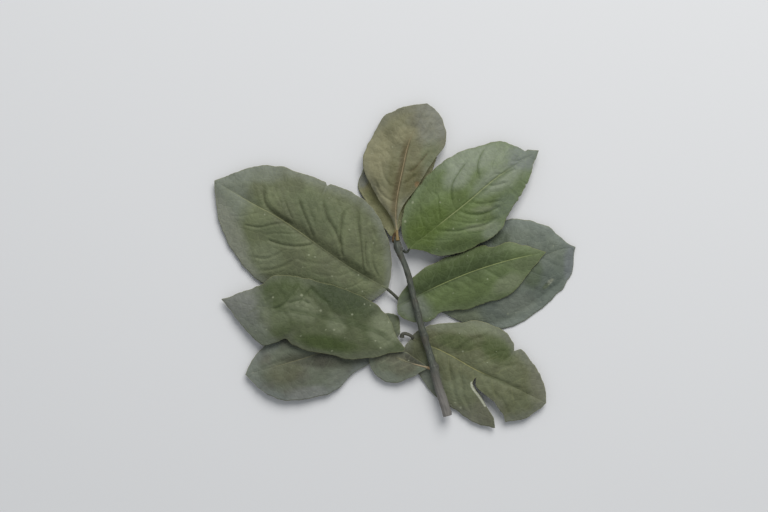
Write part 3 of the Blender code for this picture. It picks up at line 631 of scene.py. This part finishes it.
leaves["leafTorn"] = {
    "node": "leaf_torn", "slot": "olive_leaf", "grid": (200, 110), "seed": 20,
    "base": (8.25, -36.5), "heading": -25.4, "length": 74.5,
    "left": [(0.25, 3), (1.75, 6), (4.25, 9), (6.75, 11.25), (14.25, 15.75), (20, 18.5), (25.75, 22.5),
             (32.5, 23.5), (41, 23.25), (49, 19), (52.5, 18.75), (60.5, 14.75), (67, 10.5), (71.5, 5.5)],
    "right": [(-1.25, -5.5), (0.75, -9.75), (6.25, -13.25), (12, -15), (19.75, -19.5), (27, -21.75),
              (36.75, -22.75), (45.25, -24.25), (51.75, -23.5), (57, -22), (60.75, -17.25),
              (67.25, -12.25), (72.5, -4.5)],
    "bow": [(10.75, 1), (21.25, 1), (35.5, 0), (49, 0.5), (59.25, 0.25)],
    "rise": [1.8, 2.8, 4.6, 4.4, 2.6], "riseLeft": [1.8, 2.4, 2.4, 2.4, 2.6],
    "riseRight": [1.8, 0.9, 1.6, 2.8, 2.6],
    "stalk": [(3.7, -35.8, 2.6), (3.9, -34.4, 3.0), (5.2, -33.9, 3.3), (7.2, -34.5, 3.2),
              (8.8, -35.6, 2.7)],
    "stalkSize": (1.2, 0.9),
    "veinsLeft": [(6, 0.8, 0.01, 10, 0.06), (14, 0.8, 0.01, 14, 0.08), (23, 0.8, 0.01, 18, 0.088),
                  (33, 0.8, 0.01, 18, 0.088), (44, 0.7, 0.01, 14, 0.08), (54, 0.7, 0.01, 10, 0.048)],
    "veinsRight": [(7, 0.5, 0.01, 11, 0.08), (13, 0.5, 0.01, 14, 0.096), (20, 0.5, 0.01, 17, 0.096),
                   (27, 0.5, 0.01, 17, 0.112), (34, 0.5, 0.01, 17, 0.096), (44, 0.6, 0.01, 16, 0.08),
                   (55, 0.6, 0.01, 12, 0.056)],
    "folds": [
        ([(28.5, -45), (33.5, -40.5), (38.5, -37), (45.5, -35)], 0.3, 0.94),
        ([(36.5, -49), (43.5, -45.5), (51.5, -43), (57.5, -42.5)], 0.2, 0.85),
        ([(45.5, -53.5), (51.5, -51), (59.5, -49.5), (66.5, -50.5)], 0.16, 0.85),
        ([(22.5, -42), (26.5, -37.5), (31.5, -35)], 0.14, 0.85),
        ([(24.5, -43.5), (27, -51), (29.5, -61), (31.5, -69)], 0.22, 0.85),
        ([(30, -46), (32, -53), (34, -63), (37.5, -72)], 0.2, 0.85),
        ([(35.5, -49.5), (36.5, -57), (35.5, -53)], 0.1, 0.68),
        ([(44.5, -54), (47.5, -61), (53.5, -67), (56.5, -73)], 0.2, 0.85),
        ([(51.5, -57), (56.5, -63), (62.5, -68)], 0.14, 0.85),
        ([(40.5, -53), (47.5, -55.5), (54.5, -58.5), (62.5, -61.5)], 0.28, 1.1),
    ],
    "quilt": 0.12, "ribShown": (0.2, 0.46, 0.42), "marginBloomSheenShown": 0.5, "crease": (0.25, 0.3),
    "nicks": [(1, 49.5, 2.2, 2.2)], "troughShade": (1, 1.0, 10, 50, 0.35),
    # line of the pale torn edge: pale fibres, with painted light standing in for the lit floor in the split
    "litTornEdge": [(40.3, -55.2), (38.8, -56.5), (38.2, -58.8), (39.1, -61.3), (42.5, -65.7), (45.6, -70.6)],
    "specks": [(34, -42.7, 0.7), (33, -70.7, 0.9), (30, -68.2, 0.6), (46, -48.2, 0.4), (50.5, -42.7, 0.4)],
    "tones": {"face": "#696E54", "mottle": "#5E6148", "margin": "#777973", "vein": "#878A63",
              "rib": "#B7B174", "troughShade": "#50573B", "stalk": "#54544B"},
    "zones": {
        "paleTopRim": (34, -30.5, 24, 4.5, -4, "softSage", 0.6),
        "deepGreenBand": (31, -38, 14, 5, -12, "bottleGreen", 0.55),
        "deepGreenRight": (50, -42, 12, 7, -35, "bottleGreen", 0.7),
        # waxy bloom and painted sheen along the margin near the tip
        "bloomSheenTipMargin": (72, -59, 7, 14, 5, "khakiGrey", 0.5),
        # waxy bloom and painted sheen on the lower lobes
        "bloomSheenLobes": (45, -73, 12, 9, 0, "khakiGrey", 0.6),
        "greyLeftOfStem": (18, -58, 10, 6, -65, "greyGreen", 0.8),
        "paleLowerStem": (28, -64, 8, 5, -65, "softSage", 0.65),
        "lightBesideTear": (34, -62, 12, 6, -65, "softSage", 0.45),
        # painted shade on the base, under the stem and the small leaf
        "shadeAtBase": (9.5, -45, 5, 6, -20, "darkUmber", 0.35),
    },
}

tear = [(55.75, -80.5), (54.25, -74.25), (52.4, -72.1), (49.5, -67.7), (44.5, -63.9), (40.7, -60.5),
        (40.2, -58.75), (40.6, -55.5), (39.25, -56.75), (38.7, -58.75), (39.6, -61), (43, -65.25),
        (46.2, -70.75), (49.4, -75.75), (50.4, -83)]  # outline of the split, x and y in mm
cutFrom, cutTo = -5, 20                               # mm, below and above the whole leaf

bladeShape = {  # mm, and shares of the leaf
    "thickness": 0.42, "centre": np.array((0.24, -0.04)), "lift": 0.3,
    "lead": 0.05, "crown": 1.8, "swell": 0.2295,          # how far the margins run ahead, dome, puffiness
    "creaseWidth": 3.4, "padWidth": 2.4,
    "veinHalf": 0.75, "veinLip": 2.1, "lipHalf": 1.2,     # groove of a vein and the raised lip beside it
    "foldLip": 2.0, "foldLipHalf": 1.1,                   # the same for a fold, in its own half widths
    "wobble": ((0.16, 7, 7), (0.05, 2, 9)), "wobbleIn": 0.1,  # margin: mm out, wave length, seed
    "ripple": ((0.14, 14, 50), (0.05, 5, 80)),                # blade: mm up, wave length, seed
    "farOff": 9.0,
}


def sideVeins(veins, along, out):
    b = bladeShape
    groove, nearest = np.zeros(len(along)), np.full(len(along), b["farOff"])
    for start, slant, bend, reach, depth in veins:
        offset = (along - start - slant * out - bend * out ** 2) / np.hypot(1, slant + 2 * bend * out)
        fade = np.clip((reach - out) / (0.4 * reach), 0, 1) * np.clip(out / 1.2, 0, 1)
        lip = 0.5 * np.exp(-((np.abs(offset) - b["veinLip"]) / b["lipHalf"]) ** 2)
        groove += depth * fade * (lip - np.exp(-(offset / b["veinHalf"]) ** 2))
        nearest = np.minimum(nearest, np.abs(offset) + 4 * (1 - fade))
    return groove, nearest


def foldsAcross(folds, plan):
    b = bladeShape
    groove, nearest = np.zeros(len(plan)), np.full(len(plan), b["farOff"])
    for line, depth, half in folds:
        line = lineThrough(line, 14)
        best, share = np.full(len(plan), 99.0), np.zeros(len(plan))
        for i, (start, end) in enumerate(zip(line, line[1:])):
            span = end - start
            part = np.clip((plan - start) @ span / (span @ span), 0, 1)
            away = np.linalg.norm(plan - start - part[:, None] * span, axis=1)
            share = np.where(away < best, (i + part) / (len(line) - 1), share)
            best = np.minimum(best, away)
        fade = np.clip(5 * np.minimum(share, 1.15 - share), 0, 1)
        lip = 0.5 * np.exp(-((best / half - b["foldLip"]) / b["foldLipHalf"]) ** 2)
        groove += depth * fade * (lip - np.exp(-(best / half) ** 2))
        nearest = np.minimum(nearest, best / half + 3 * (1 - fade * min(1, depth / 0.3)))
    return groove, nearest


def leafSurface(leaf, share, side):  # share 0 base to 1 tip, side -1 right margin to 1 left margin
    b = bladeShape
    lines = {key: lineThrough([(0, 0)] + leaf[key] + [(leaf["length"], 0)])
             for key in ("left", "right", "bow")}
    isLeft = side > 0
    reach = np.abs(side)
    middle = alongLine(lines["bow"], share)
    lead = share + b["lead"] * np.sin(math.pi * share)
    edge = np.where(isLeft[:, None], alongLine(lines["left"], lead), alongLine(lines["right"], lead))
    width = np.linalg.norm(edge - middle, axis=1)
    uneven = -b["wobbleIn"]
    for height, size, seed in b["wobble"]:
        uneven = uneven + height * wander(edge[:, 0], edge[:, 1], size, leaf["seed"] + seed)
    for nickSide, at, deep, wide in leaf.get("nicks", []):
        uneven -= np.where(side * nickSide > 0, deep * np.clip(1 - np.abs(edge[:, 0] - at) / wide, 0, 1), 0)
    edge = edge + (edge - middle) * (uneven * np.clip(width / 4, 0, 1) / np.maximum(width, 4))[:, None]
    flat = middle + (edge - middle) * reach[:, None]
    along, inward = flat[:, 0], width * (1 - reach)
    out = np.abs(flat[:, 1] - np.interp(along, lines["bow"][:, 0], lines["bow"][:, 1]))
    turn = math.radians(leaf["heading"])
    forward = np.array([math.cos(turn), math.sin(turn)])
    sideways = np.array([-math.sin(turn), math.cos(turn)])
    plan = np.array(leaf["base"]) + flat[:, :1] * forward + flat[:, 1:] * sideways

    middleRise = heightAt(leaf["rise"], share)
    edgeRise = np.where(isLeft, heightAt(leaf["riseLeft"], share), heightAt(leaf["riseRight"], share))
    rise = middleRise + (edgeRise - middleRise) * reach ** b["crown"]
    rise = rise + b["swell"] * width * reach ** leaf.get("valley", 1) * (1 - reach) ** 2
    grooveLeft, gapLeft = sideVeins(leaf.get("veinsLeft", []), along, out)
    grooveRight, gapRight = sideVeins(leaf.get("veinsRight", []), along, out)
    gap = np.where(isLeft, gapLeft, gapRight)
    fold, foldGap = foldsAcross(leaf.get("folds", []), plan)
    rise = rise + (np.where(isLeft, grooveLeft, grooveRight) + fold) * np.clip(inward / 3, 0, 1)
    pads = 0.4 - np.exp(-(np.minimum(gap, 1.6 * foldGap) / b["padWidth"]) ** 2)
    rise = rise + leaf["quilt"] * pads * np.clip(inward / 5, 0, 1) * np.clip(out / 3, 0, 1)
    crease = np.where(isLeft, *leaf["crease"]) * np.clip(6 * share, 0, 1) * np.clip(2.4 * (1 - share), 0, 1)
    rise = rise + crease * (0.6 - np.exp(-(out / b["creaseWidth"]) ** 2)) * np.clip(inward / 4, 0, 1)
    for height, size, seed in b["ripple"]:
        ripple = height * wander(flat[:, 0], flat[:, 1], size, leaf["seed"] + seed)
        rise = rise + ripple * np.clip(share * 8, 0, 1)
    rise = np.maximum(rise, 0.0) + b["lift"]

    speck, torn = np.zeros(len(plan)), np.zeros(len(plan))
    for x, y, size in leaf.get("specks", []):
        apart = np.hypot(plan[:, 0] - x, plan[:, 1] - y)
        speck = np.maximum(speck, np.clip(1.5 - 1.5 * apart / size, 0, 1))
    # mask along the torn edge: pale fibres and painted light for the lit floor seen through the split
    if "litTornEdge" in leaf:
        apart = foldsAcross([(leaf["litTornEdge"], 1, 1)], plan)[1]
        torn = np.clip(1.5 - 1.7 * apart, 0, 1)
    points = np.column_stack([plan - b["centre"], rise])
    return points, {"leafSpot": np.column_stack([along, np.where(isLeft, out, -out), share]),
                    "leafGaps": np.column_stack([inward, gap, foldGap]),
                    "leafMarks": np.column_stack([np.ones(len(plan)), speck, torn])}


def makeBlade(name, leaf):
    deselectAll()
    bpy.ops.mesh.primitive_grid_add(x_subdivisions=leaf["grid"][0], y_subdivisions=leaf["grid"][1], size=2)
    blade = bpy.context.active_object
    blade.name = name
    mesh = blade.data
    spots = readSpots(mesh)
    even = (spots[:, 0] + 1) / 2
    # rows lie closer together at the base and the tip, and at the midrib
    share = 0.35 * (0.5 - 0.5 * np.cos(math.pi * even)) + 0.65 * even
    side = np.sign(spots[:, 1]) * np.abs(spots[:, 1]) ** 1.3
    points, notes = leafSurface(leaf, share, side)
    mesh.vertices.foreach_set("co", (points * mm).ravel())
    for key, values in notes.items():
        storeNote(mesh, key, values)
    closeUp(blade, 0.012)
    if sum(face.normal.z for face in mesh.polygons) < 0:
        bpy.ops.object.mode_set(mode="EDIT")
        bpy.ops.mesh.flip_normals()
        bpy.ops.object.mode_set(mode="OBJECT")
    wall = blade.modifiers.new("blade thickness", "SOLIDIFY")
    wall.thickness = bladeShape["thickness"] * mm
    wall.offset = 0
    wall.material_offset = -1
    bpy.ops.object.modifier_apply(modifier=wall.name)
    bpy.ops.object.shade_smooth()
    marks = readNote(mesh, "leafMarks")
    marks[:, 0] = [normal.vector[2] > -0.2 for normal in mesh.vertex_normals]  # 1 on top, 0 underneath
    storeNote(mesh, "leafMarks", marks)
    return blade


ribShape = {"start": 0.44, "end": 0.15, "reach": 0.95, "steps": 70,      # mm, radii
            "stalk": (0.9, 0.85), "stalkSteps": 40, "sides": 14, "sunk": 0.03}


def makeTube(name, points, radii, sides):
    curve = bpy.data.curves.new(name, "CURVE")
    curve.dimensions = "3D"
    curve.bevel_mode = "ROUND"
    curve.bevel_depth = mm
    curve.bevel_resolution = sides // 2 - 2
    curve.use_fill_caps = True
    spline = curve.splines.new("POLY")
    spline.points.add(len(points) - 1)
    for place, (x, y, z), radius in zip(spline.points, points, radii):
        place.co = (x * mm, y * mm, z * mm, 1)
        place.radius = radius
    tube = bpy.data.objects.new(name, curve)
    bpy.context.scene.collection.objects.link(tube)
    pickOnly(tube)
    bpy.ops.object.convert(target="MESH")
    tube = bpy.context.active_object
    closeUp(tube, 0.001)
    bpy.ops.object.shade_smooth()
    return tube


def makeRib(name, leaf):
    r = ribShape
    shares = np.linspace(0.012, r["reach"], r["steps"])
    route = leafSurface(leaf, shares, np.full(len(shares), 1e-6))[0]
    radii = r["start"] + (r["end"] - r["start"]) * (shares / r["reach"]) ** 0.6
    route[:, 2] += bladeShape["thickness"] / 2 - r["sunk"] - leaf.get("ribSunk", 0)
    if name != "leafSmall":  # that one stands proud, as midribs do underneath
        route[:, 2] -= radii
    if "stalk" in leaf:
        stalk = np.array(leaf["stalk"]) - [*bladeShape["centre"], 0]
        head = lineThrough(np.vstack([stalk, route[:2]]), r["stalkSteps"])
        route = np.vstack([head, route[2:]])
        thick, thin = leaf.get("stalkSize", r["stalk"])
        steps = np.linspace(0, 1, r["stalkSteps"])
        taper = np.interp(steps, [0, 0.25, 1], [thick, thin, max(radii[1], 0.8 * thin)])
        radii = np.concatenate([taper, np.maximum(radii[2:], 0.8 * thin - shares[2:] * 4)])
        onStalk = np.linspace(-1, shares[1], r["stalkSteps"])  # below 0 the material shows the stalk's tone
        shares = np.concatenate([onStalk, shares[2:]])
    tube = makeTube(name + "Rib", route, radii, r["sides"])
    spots = readSpots(tube.data) / mm
    nearest = np.array([np.argmin(np.sum((route - spot) ** 2, axis=1)) for spot in spots])
    onTop = spots[:, 2] > route[nearest, 2]
    none, far = np.zeros(len(nearest)), np.full(len(nearest), 5.0)
    share = shares[nearest]
    storeNote(tube.data, "leafSpot", np.column_stack([share * leaf["length"], none, share]))
    storeNote(tube.data, "leafGaps", np.column_stack([far, far, far]))
    storeNote(tube.data, "leafMarks", np.column_stack([onTop, none, none]))
    return tube


leafLook = {
    # mm, detail, roughness
    "clouds": (("broad", 13, 3, 0.55), ("patchy", 3.6, 2, 0.55), ("fine", 1.7, 4, 0.62)),
    "net": 2.6,    # mm. The real net has meshes of about 0.5 mm, too fine to show, so it is drawn coarser
    "points": 9,   # mm apart, pale pin-points of wax
    "ragged": 1.6, "marginRagged": 5.0,  # how far the clouds push the borders of the colours about
    # tissue between the veins is never one even shade: lighter and darker in patches and in fine grains
    "shades": (("patchy", 0.34, 0.66, 0.93, 1.06), ("fine", 0.38, 0.78, 1.05, 0.91)),
    "gloss": (0.5, 0.62), "ior": 1.4, "specular": 0.25,  # leaf wax, worn dull
    "relief": (("fine", 1.2), ("patchy", 1.8)), "bump": 0.16,  # mm
}


def leafMaterial(name, leaf):
    # half-dried bay leaf, a leathery blade with a waxy skin: the eye gets a low satin gloss, a fine
    # pressed-in net of veins, and a green that has dried unevenly to olive, brown and grey; the grey at the
    # margins is partly painted sheen, and zones paint shade, sheen and highlights into the colour
    look = leafLook
    tones = {key: hexToLinear(code) for key, code in {**leafTones, **leaf["tones"]}.items()}
    material, tree, shader = newMaterial(name + " waxy dried leaf")
    follows = {}
    for key, words in (("leafSpot", ("along", "out", "share")), ("leafGaps", ("inward", "vein", "fold")),
                       ("leafMarks", ("topSide", "speck", "torn"))):
        stored = addNode(tree, "ShaderNodeAttribute", {"attribute_name": key})
        split = addNode(tree, "ShaderNodeSeparateXYZ", links={0: stored.outputs["Vector"]})
        follows.update(zip(words, split.outputs))
    where = addNode(tree, "ShaderNodeTexCoord").outputs["Object"]
    for word, size, detail, rough in look["clouds"]:
        clouds = addNode(tree, "ShaderNodeTexNoise",
                         {"Scale": 1 / (size * mm), "Detail": detail, "Roughness": rough},
                         {"Vector": where})
        follows[word] = clouds.outputs[0]
    net = addNode(tree, "ShaderNodeTexVoronoi",
                  {"feature": "DISTANCE_TO_EDGE", "Scale": 1 / (look["net"] * mm)}, {"Vector": where})
    dots = addNode(tree, "ShaderNodeTexVoronoi", {"Scale": 1 / (look["points"] * mm)}, {"Vector": where})
    uneven = addNode(tree, "ShaderNodeMath", {"operation": "MULTIPLY_ADD", 1: look["ragged"],
                                              2: -look["ragged"] / 2}, {0: follows["broad"]})
    toMargin = addNode(tree, "ShaderNodeMath", {"operation": "MULTIPLY_ADD", 1: look["marginRagged"]},
                       {0: uneven.outputs[0], 2: follows["inward"]})
    offRib = addNode(tree, "ShaderNodeMath", {"operation": "ABSOLUTE"}, {0: follows["out"]})
    follows.update(net=net.outputs["Distance"], dots=dots.outputs["Distance"],
                   toMargin=toMargin.outputs[0], offRib=offRib.outputs[0])

    # margin: grey towards the margins, waxy bloom and painted sheen where they curve down
    coats = [("mottle", ("broad", 0.36, 0.66, 0, 1)),
             ("margin", ("toMargin", 0, 6.5, leaf["marginBloomSheenShown"], 0))]
    for key, (x, y, halfLong, halfWide, turned, tone, strength) in leaf["zones"].items():
        local = addNode(tree, "ShaderNodeMapping",
                        {"vector_type": "TEXTURE", "Location": (x * mm, y * mm, 0),
                         "Rotation": (0, 0, math.radians(turned)),
                         "Scale": (halfLong * mm, halfWide * mm, 1)}, {"Vector": where})
        far = addNode(tree, "ShaderNodeVectorMath", {"operation": "LENGTH"}, {0: local.outputs[0]})
        border = 0.6 if halfWide > 2.5 else 0.1  # a small area keeps a clean border
        ragged = addNode(tree, "ShaderNodeMath", {"operation": "MULTIPLY_ADD", 1: border},
                         {0: uneven.outputs[0], 2: far.outputs["Value"]})
        follows[key] = ragged.outputs[0]
        coats.append((tone, (key, 0.45, 1.15, strength, 0)))
    # troughShade: painted shade on the strip beside the midrib, where the blade dips away from the light
    side, wide, first, last, strength = leaf["troughShade"]
    shownFrom, shownTo, shown = leaf["ribShown"]
    coats += [
        ("troughShade", ("out", -1.3 * side, -0.4 * side, 0, strength),
         ("offRib", 0.35 * wide, 1.2 * wide, 1, 0),
         ("along", first - 6, first + 4, 0, 1), ("along", last - 6, last + 6, 1, 0)),
        ("vein", ("vein", 0.12, 0.5, 0.18, 0), ("inward", 1, 6, 0, 1)),
        # darker along the folds, in the troughShade tone: painted shade in their grooves
        ("troughShade", ("fold", 0, 1, 0.6, 0), ("inward", 0.5, 4, 0, 1)),
        ("vein", ("net", 0, 0.08, 0.12, 0)),
        ("rib", ("offRib", 0.1, 0.42, shown, 0), ("share", shownTo, shownTo + 0.16, 1, 0.05),
         ("share", shownFrom - 0.1, shownFrom, 0.15, 1)),
        ("dryRim", ("inward", 0.1, 0.45, 0.45, 0)),
        ("palePoint", ("dots", 0.025, 0.045, 0.4, 0)),
        ("paleSpeck", ("speck", 0.1, 0.9, 0, 0.5)),
        # pale torn fibres along the split, brightened as painted light for the floor seen through it
        ("tornFibreAndLight", ("torn", 0.2, 0.9, 0, 0.75)),
    ]
    if name != "leafSmall":  # that leaf shows its underside already
        underneath = ("topSide", 0.3, 0.7, 1, 0)
        coats += [("face", underneath), ("underPale", underneath, ("broad", 0.3, 0.7, 0.35, 0.65)),
                  ("underVein", underneath, ("vein", 0.2, 0.7, 0.6, 0))]
    coats.append(("stalk", ("share", -0.12, 0, 1, 0)))
    colour = layCoats(tree, tones, follows, coats, "SMOOTHSTEP")
    for word, low, high, atLow, atHigh in look["shades"]:
        shade = addNode(tree, "ShaderNodeMapRange", {"From Min": low, "From Max": high, "To Min": atLow,
                                                     "To Max": atHigh}, {"Value": follows[word]})
        colour = addNode(tree, "ShaderNodeHueSaturation",
                         links={"Value": shade.outputs[0], "Color": colour}).outputs[0]
    tree.links.new(colour, shader.inputs["Base Color"])

    smooth, rough = look["gloss"]
    satin = addNode(tree, "ShaderNodeMapRange",
                    {"From Min": 0.3, "From Max": 0.7, "To Min": smooth, "To Max": rough},
                    {"Value": follows["fine"]})
    tree.links.new(satin.outputs[0], shader.inputs["Roughness"])
    shader.inputs["IOR"].default_value = look["ior"]
    shader.inputs["Specular IOR Level"].default_value = look["specular"]
    relief = addNode(tree, "ShaderNodeMapRange", {"From Max": 0.2}, {"Value": follows["net"]})
    for word, share in look["relief"]:
        relief = addNode(tree, "ShaderNodeMath", {"operation": "MULTIPLY_ADD", 1: share},
                         {0: follows[word], 2: relief.outputs[0]})
    bump = addNode(tree, "ShaderNodeBump", {"Strength": 0.5, "Distance": look["bump"] * mm},
                   {"Height": relief.outputs[0]})
    tree.links.new(bump.outputs[0], shader.inputs["Normal"])
    return material


def cutTear(blade):
    deselectAll()
    bpy.ops.mesh.primitive_circle_add(vertices=len(tear), fill_type="NGON")
    cutter = bpy.context.active_object
    for corner, spot in zip(cutter.data.vertices, np.array(tear) - bladeShape["centre"]):
        corner.co = (spot[0] * mm, spot[1] * mm, cutFrom * mm)
    bpy.ops.object.mode_set(mode="EDIT")
    bpy.ops.mesh.select_all(action="SELECT")
    bpy.ops.mesh.extrude_region_move(TRANSFORM_OT_translate={"value": (0, 0, (cutTo - cutFrom) * mm)})
    bpy.ops.mesh.select_all(action="SELECT")
    bpy.ops.mesh.quads_convert_to_tris()
    bpy.ops.mesh.normals_make_consistent(inside=False)
    bpy.ops.object.mode_set(mode="OBJECT")
    pickOnly(blade)
    cut = blade.modifiers.new("tear", "BOOLEAN")
    cut.operation = "DIFFERENCE"
    cut.solver = "EXACT"
    cut.object = cutter
    bpy.ops.object.modifier_apply(modifier=cut.name)
    bpy.data.objects.remove(cutter)

    mesh = blade.data
    ends = np.empty(2 * len(mesh.edges), np.int32)
    mesh.edges.foreach_get("vertices", ends)
    spare = np.bincount(ends, minlength=len(mesh.vertices)) == 2  # the cut leaves these inside its edges
    pickCorners(blade, spare)
    bpy.ops.object.mode_set(mode="EDIT")
    bpy.ops.mesh.dissolve_verts()
    bpy.ops.mesh.select_all(action="SELECT")
    bpy.ops.mesh.dissolve_degenerate(threshold=0.004 * mm)
    bpy.ops.object.mode_set(mode="OBJECT")


def makeLeaf(name, leaf):
    blade = makeBlade(name, leaf)
    if name == "leafTorn":
        cutTear(blade)
    rib = makeRib(name, leaf)
    pickOnly(blade)
    rib.select_set(True)
    bpy.ops.object.join()
    blade.data.materials.clear()
    blade.data.materials.append(leafMaterial(name, leaf))
    blade.data.polygons.foreach_set("material_index", np.zeros(len(blade.data.polygons), np.int32))
    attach(blade, "root")
    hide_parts(leaf["node"])


# Stem

stemSet = {
    # centre line from the tip to the cut end: x, y, height, radius in mm
    "line": [(1.3, 14.2, 8.9, 1.3), (1.3, 11.5, 8.7, 1.75), (1.9, 8.5, 8.55, 2.0), (3.2, 5.0, 8.5, 1.6),
             (5.1, 0.25, 8.3, 1.45), (7.2, -6.25, 8.1, 1.5), (8.4, -11.25, 7.9, 1.5),
             (9.8, -17.25, 7.7, 1.6), (11.2, -22.25, 7.5, 1.65), (12.6, -28.25, 7.1, 1.65),
             (14.5, -34.6, 6.7, 1.8), (16.9, -42.25, 6.3, 1.75), (18.4, -47.25, 6.2, 1.9),
             (19.6, -51.0, 6.0, 2.2), (21.0, -57, 5.8, 2.05), (22.5, -62.25, 5.6, 2.15),
             (24.25, -67.25, 5.5, 2.25), (25.75, -72.25, 5.4, 2.3), (26.35, -74.6, 5.4, 2.25)],
    "rows": 420, "around": 56,
    "inset": 0.06, "ridge": 0.07, "lump": 0.07,  # mm: bark inside its line, lengthwise wrinkles, bumps
    # along, angle, height, reach
    "buds": [(5.9, 2.7, 0.45, 1.2), (51.5, 2.9, 0.4, 1.7), (67.5, 3.2, 0.45, 1.6)],
    "budWidth": 0.9,  # mm, half of it
    "scars": [(8.5, 0.4), (38.0, 1.2), (50.0, 2.0), (66.5, 2.2)],  # raised rings where leaves joined
    "scarHeight": 0.12, "scarHalf": 0.35, "scarTilt": 0.5,
    "endRings": [(0.92, 0.10), (0.6, 0.08), (0.3, 0.02), (0, 0)],  # share of the radius, mm past the end
    "tones": {"face": "#3B403A", "light": "#5F6459", "brown": "#4C473C", "pore": "#8A877A",
              "lowerGrey": "#7E7A76", "cutCore": "#B7AE94", "cutRim": "#8C8570"},
    "lowerGreyFrom": (64, 84),  # mm along the stem
    "streaks": 1.1, "patches": 0.16, "pores": 0.55,  # how many to a mm
    "drawnOut": (0.28, 1.6, 1.0),                    # streaks: stretched along the stem, narrow around it
    "roughness": 0.62, "bump": 0.15,                 # bump in mm
}


def barkMaterial(s):
    # young bark, dried: thin grey-brown skin with fine lengthwise wrinkles and small pale pores, nearly
    # matte, and bare pale wood at the cut ends
    material, tree, shader = newMaterial("young bark dried matte")
    stored = addNode(tree, "ShaderNodeAttribute", {"attribute_name": "stemSpot"}).outputs["Vector"]
    split = addNode(tree, "ShaderNodeSeparateXYZ", links={0: stored})
    stretch = addNode(tree, "ShaderNodeMapping", {"Scale": s["drawnOut"]}, {"Vector": stored})
    streaks = addNode(tree, "ShaderNodeTexNoise", {"Scale": s["streaks"], "Detail": 5, "Roughness": 0.6},
                      {"Vector": stretch.outputs[0]})
    patches = addNode(tree, "ShaderNodeTexNoise", {"Scale": s["patches"], "Detail": 3}, {"Vector": stored})
    pores = addNode(tree, "ShaderNodeTexVoronoi", {"Scale": s["pores"]}, {"Vector": stored})
    follows = {"along": split.outputs[0], "core": split.outputs[2], "streaks": streaks.outputs[0],
               "patches": patches.outputs[0], "pores": pores.outputs["Distance"]}
    onCut = ("core", 0.929, 0.931, 1, 0)
    coats = [
        ("light", ("streaks", 0.35, 0.7, 0, 1)),
        ("brown", ("patches", 0.45, 0.65, 0, 0.7)),
        ("pore", ("pores", 0.08, 0.16, 0.55, 0)),
        ("lowerGrey", ("along", *s["lowerGreyFrom"], 0, 0.8)),
        ("cutCore", onCut),
        ("cutRim", onCut, ("core", 0.5, 0.8, 0, 1)),
    ]
    tones = {key: hexToLinear(code) for key, code in s["tones"].items()}
    tree.links.new(layCoats(tree, tones, follows, coats, "LINEAR"), shader.inputs["Base Color"])
    shader.inputs["Roughness"].default_value = s["roughness"]
    bump = addNode(tree, "ShaderNodeBump", {"Strength": 0.7, "Distance": s["bump"] * mm},
                   {"Height": streaks.outputs[0]})
    tree.links.new(bump.outputs[0], shader.inputs["Normal"])
    return material


def closeEnd(stem, middle, outwards, place, rings):  # extrudes the open rim inwards, ring by ring
    mesh = stem.data
    pickCorners(stem, np.abs(readNote(mesh, "stemSpot")[:, 0] - place) < 0.001)
    before, dishBefore = 1.0, 0.0
    for share, dish in rings:
        bpy.ops.object.mode_set(mode="EDIT")
        bpy.ops.mesh.extrude_region_move()
        bpy.ops.object.mode_set(mode="OBJECT")
        for vertex in mesh.vertices:
            if vertex.select:
                apart = np.array(vertex.co) / mm - middle - outwards * dishBefore
                vertex.co = (middle + apart * share / before + outwards * dish) * mm
                mesh.attributes["stemSpot"].data[vertex.index].vector = (place, 0, 0.95 * share)
        before, dishBefore = share, dish


def makeStem(s):
    line = lineThrough(s["line"], s["rows"])
    centre = line[:, :3] - [*bladeShape["centre"], 0]
    radius = line[:, 3]
    travelled = np.concatenate([[0], np.cumsum(np.linalg.norm(np.diff(centre, axis=0), axis=1))])
    heading = np.gradient(centre, axis=0)
    heading /= np.linalg.norm(heading, axis=1)[:, None]
    sideways = np.cross(heading, [0, 0, 1])
    sideways /= np.linalg.norm(sideways, axis=1)[:, None]
    upwards = np.cross(sideways, heading)

    deselectAll()
    bpy.ops.mesh.primitive_grid_add(x_subdivisions=s["rows"] - 1, y_subdivisions=s["around"], size=2)
    stem = bpy.context.active_object
    stem.name = "stemBark"
    mesh = stem.data
    spots = readSpots(mesh)
    row = np.clip(np.round((spots[:, 0] + 1) / 2 * (s["rows"] - 1)).astype(int), 0, s["rows"] - 1)
    angle = (spots[:, 1] + 1) * math.pi
    place = travelled[row]
    swell = np.zeros(len(row))
    for at, turned, height, reach in s["buds"]:
        apart = np.angle(np.exp(1j * (angle - turned))) * radius[row]
        swell += height * np.exp(-((place - at) / reach) ** 2 - (apart / s["budWidth"]) ** 2)
    for at, turned in s["scars"]:
        apart = np.angle(np.exp(1j * (angle - turned)))
        ring = np.exp(-((place - at - s["scarTilt"] * np.cos(angle - turned)) / s["scarHalf"]) ** 2)
        swell += s["scarHeight"] * ring * (0.4 + np.exp(-apart**2))
    aroundX, aroundY = 3 * np.cos(angle), 3 * np.sin(angle)
    wrinkle = wander(aroundX * 1.3 + place * 0.05, aroundY * 1.3, 1.6, 5)
    lump = wander(aroundX + place * 0.9, aroundY + place * 0.4, 6, 6)
    size = radius[row] - s["inset"] + s["ridge"] * wrinkle + s["lump"] * lump + swell
    spoke = np.cos(angle)[:, None] * sideways[row] + np.sin(angle)[:, None] * upwards[row]
    mesh.vertices.foreach_set("co", ((centre[row] + size[:, None] * spoke) * mm).ravel())
    storeNote(mesh, "stemSpot", np.column_stack([place, angle * 1.6, np.ones(len(row))]))
    closeUp(stem, 0.003)
    for end, outward in ((0, -1), (-1, 1)):
        closeEnd(stem, centre[end], outward * heading[end], travelled[end], s["endRings"])
    closeUp(stem, 0.003)
    bpy.ops.object.shade_smooth()
    mesh.materials.clear()
    mesh.materials.append(barkMaterial(s))
    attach(stem, "root")
    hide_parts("stem")


makeStem(stemSet)
sayStage("stem is made")

for leafName, leafFacts in leaves.items():
    makeLeaf(leafName, leafFacts)
    sayStage(leafName + " is made")
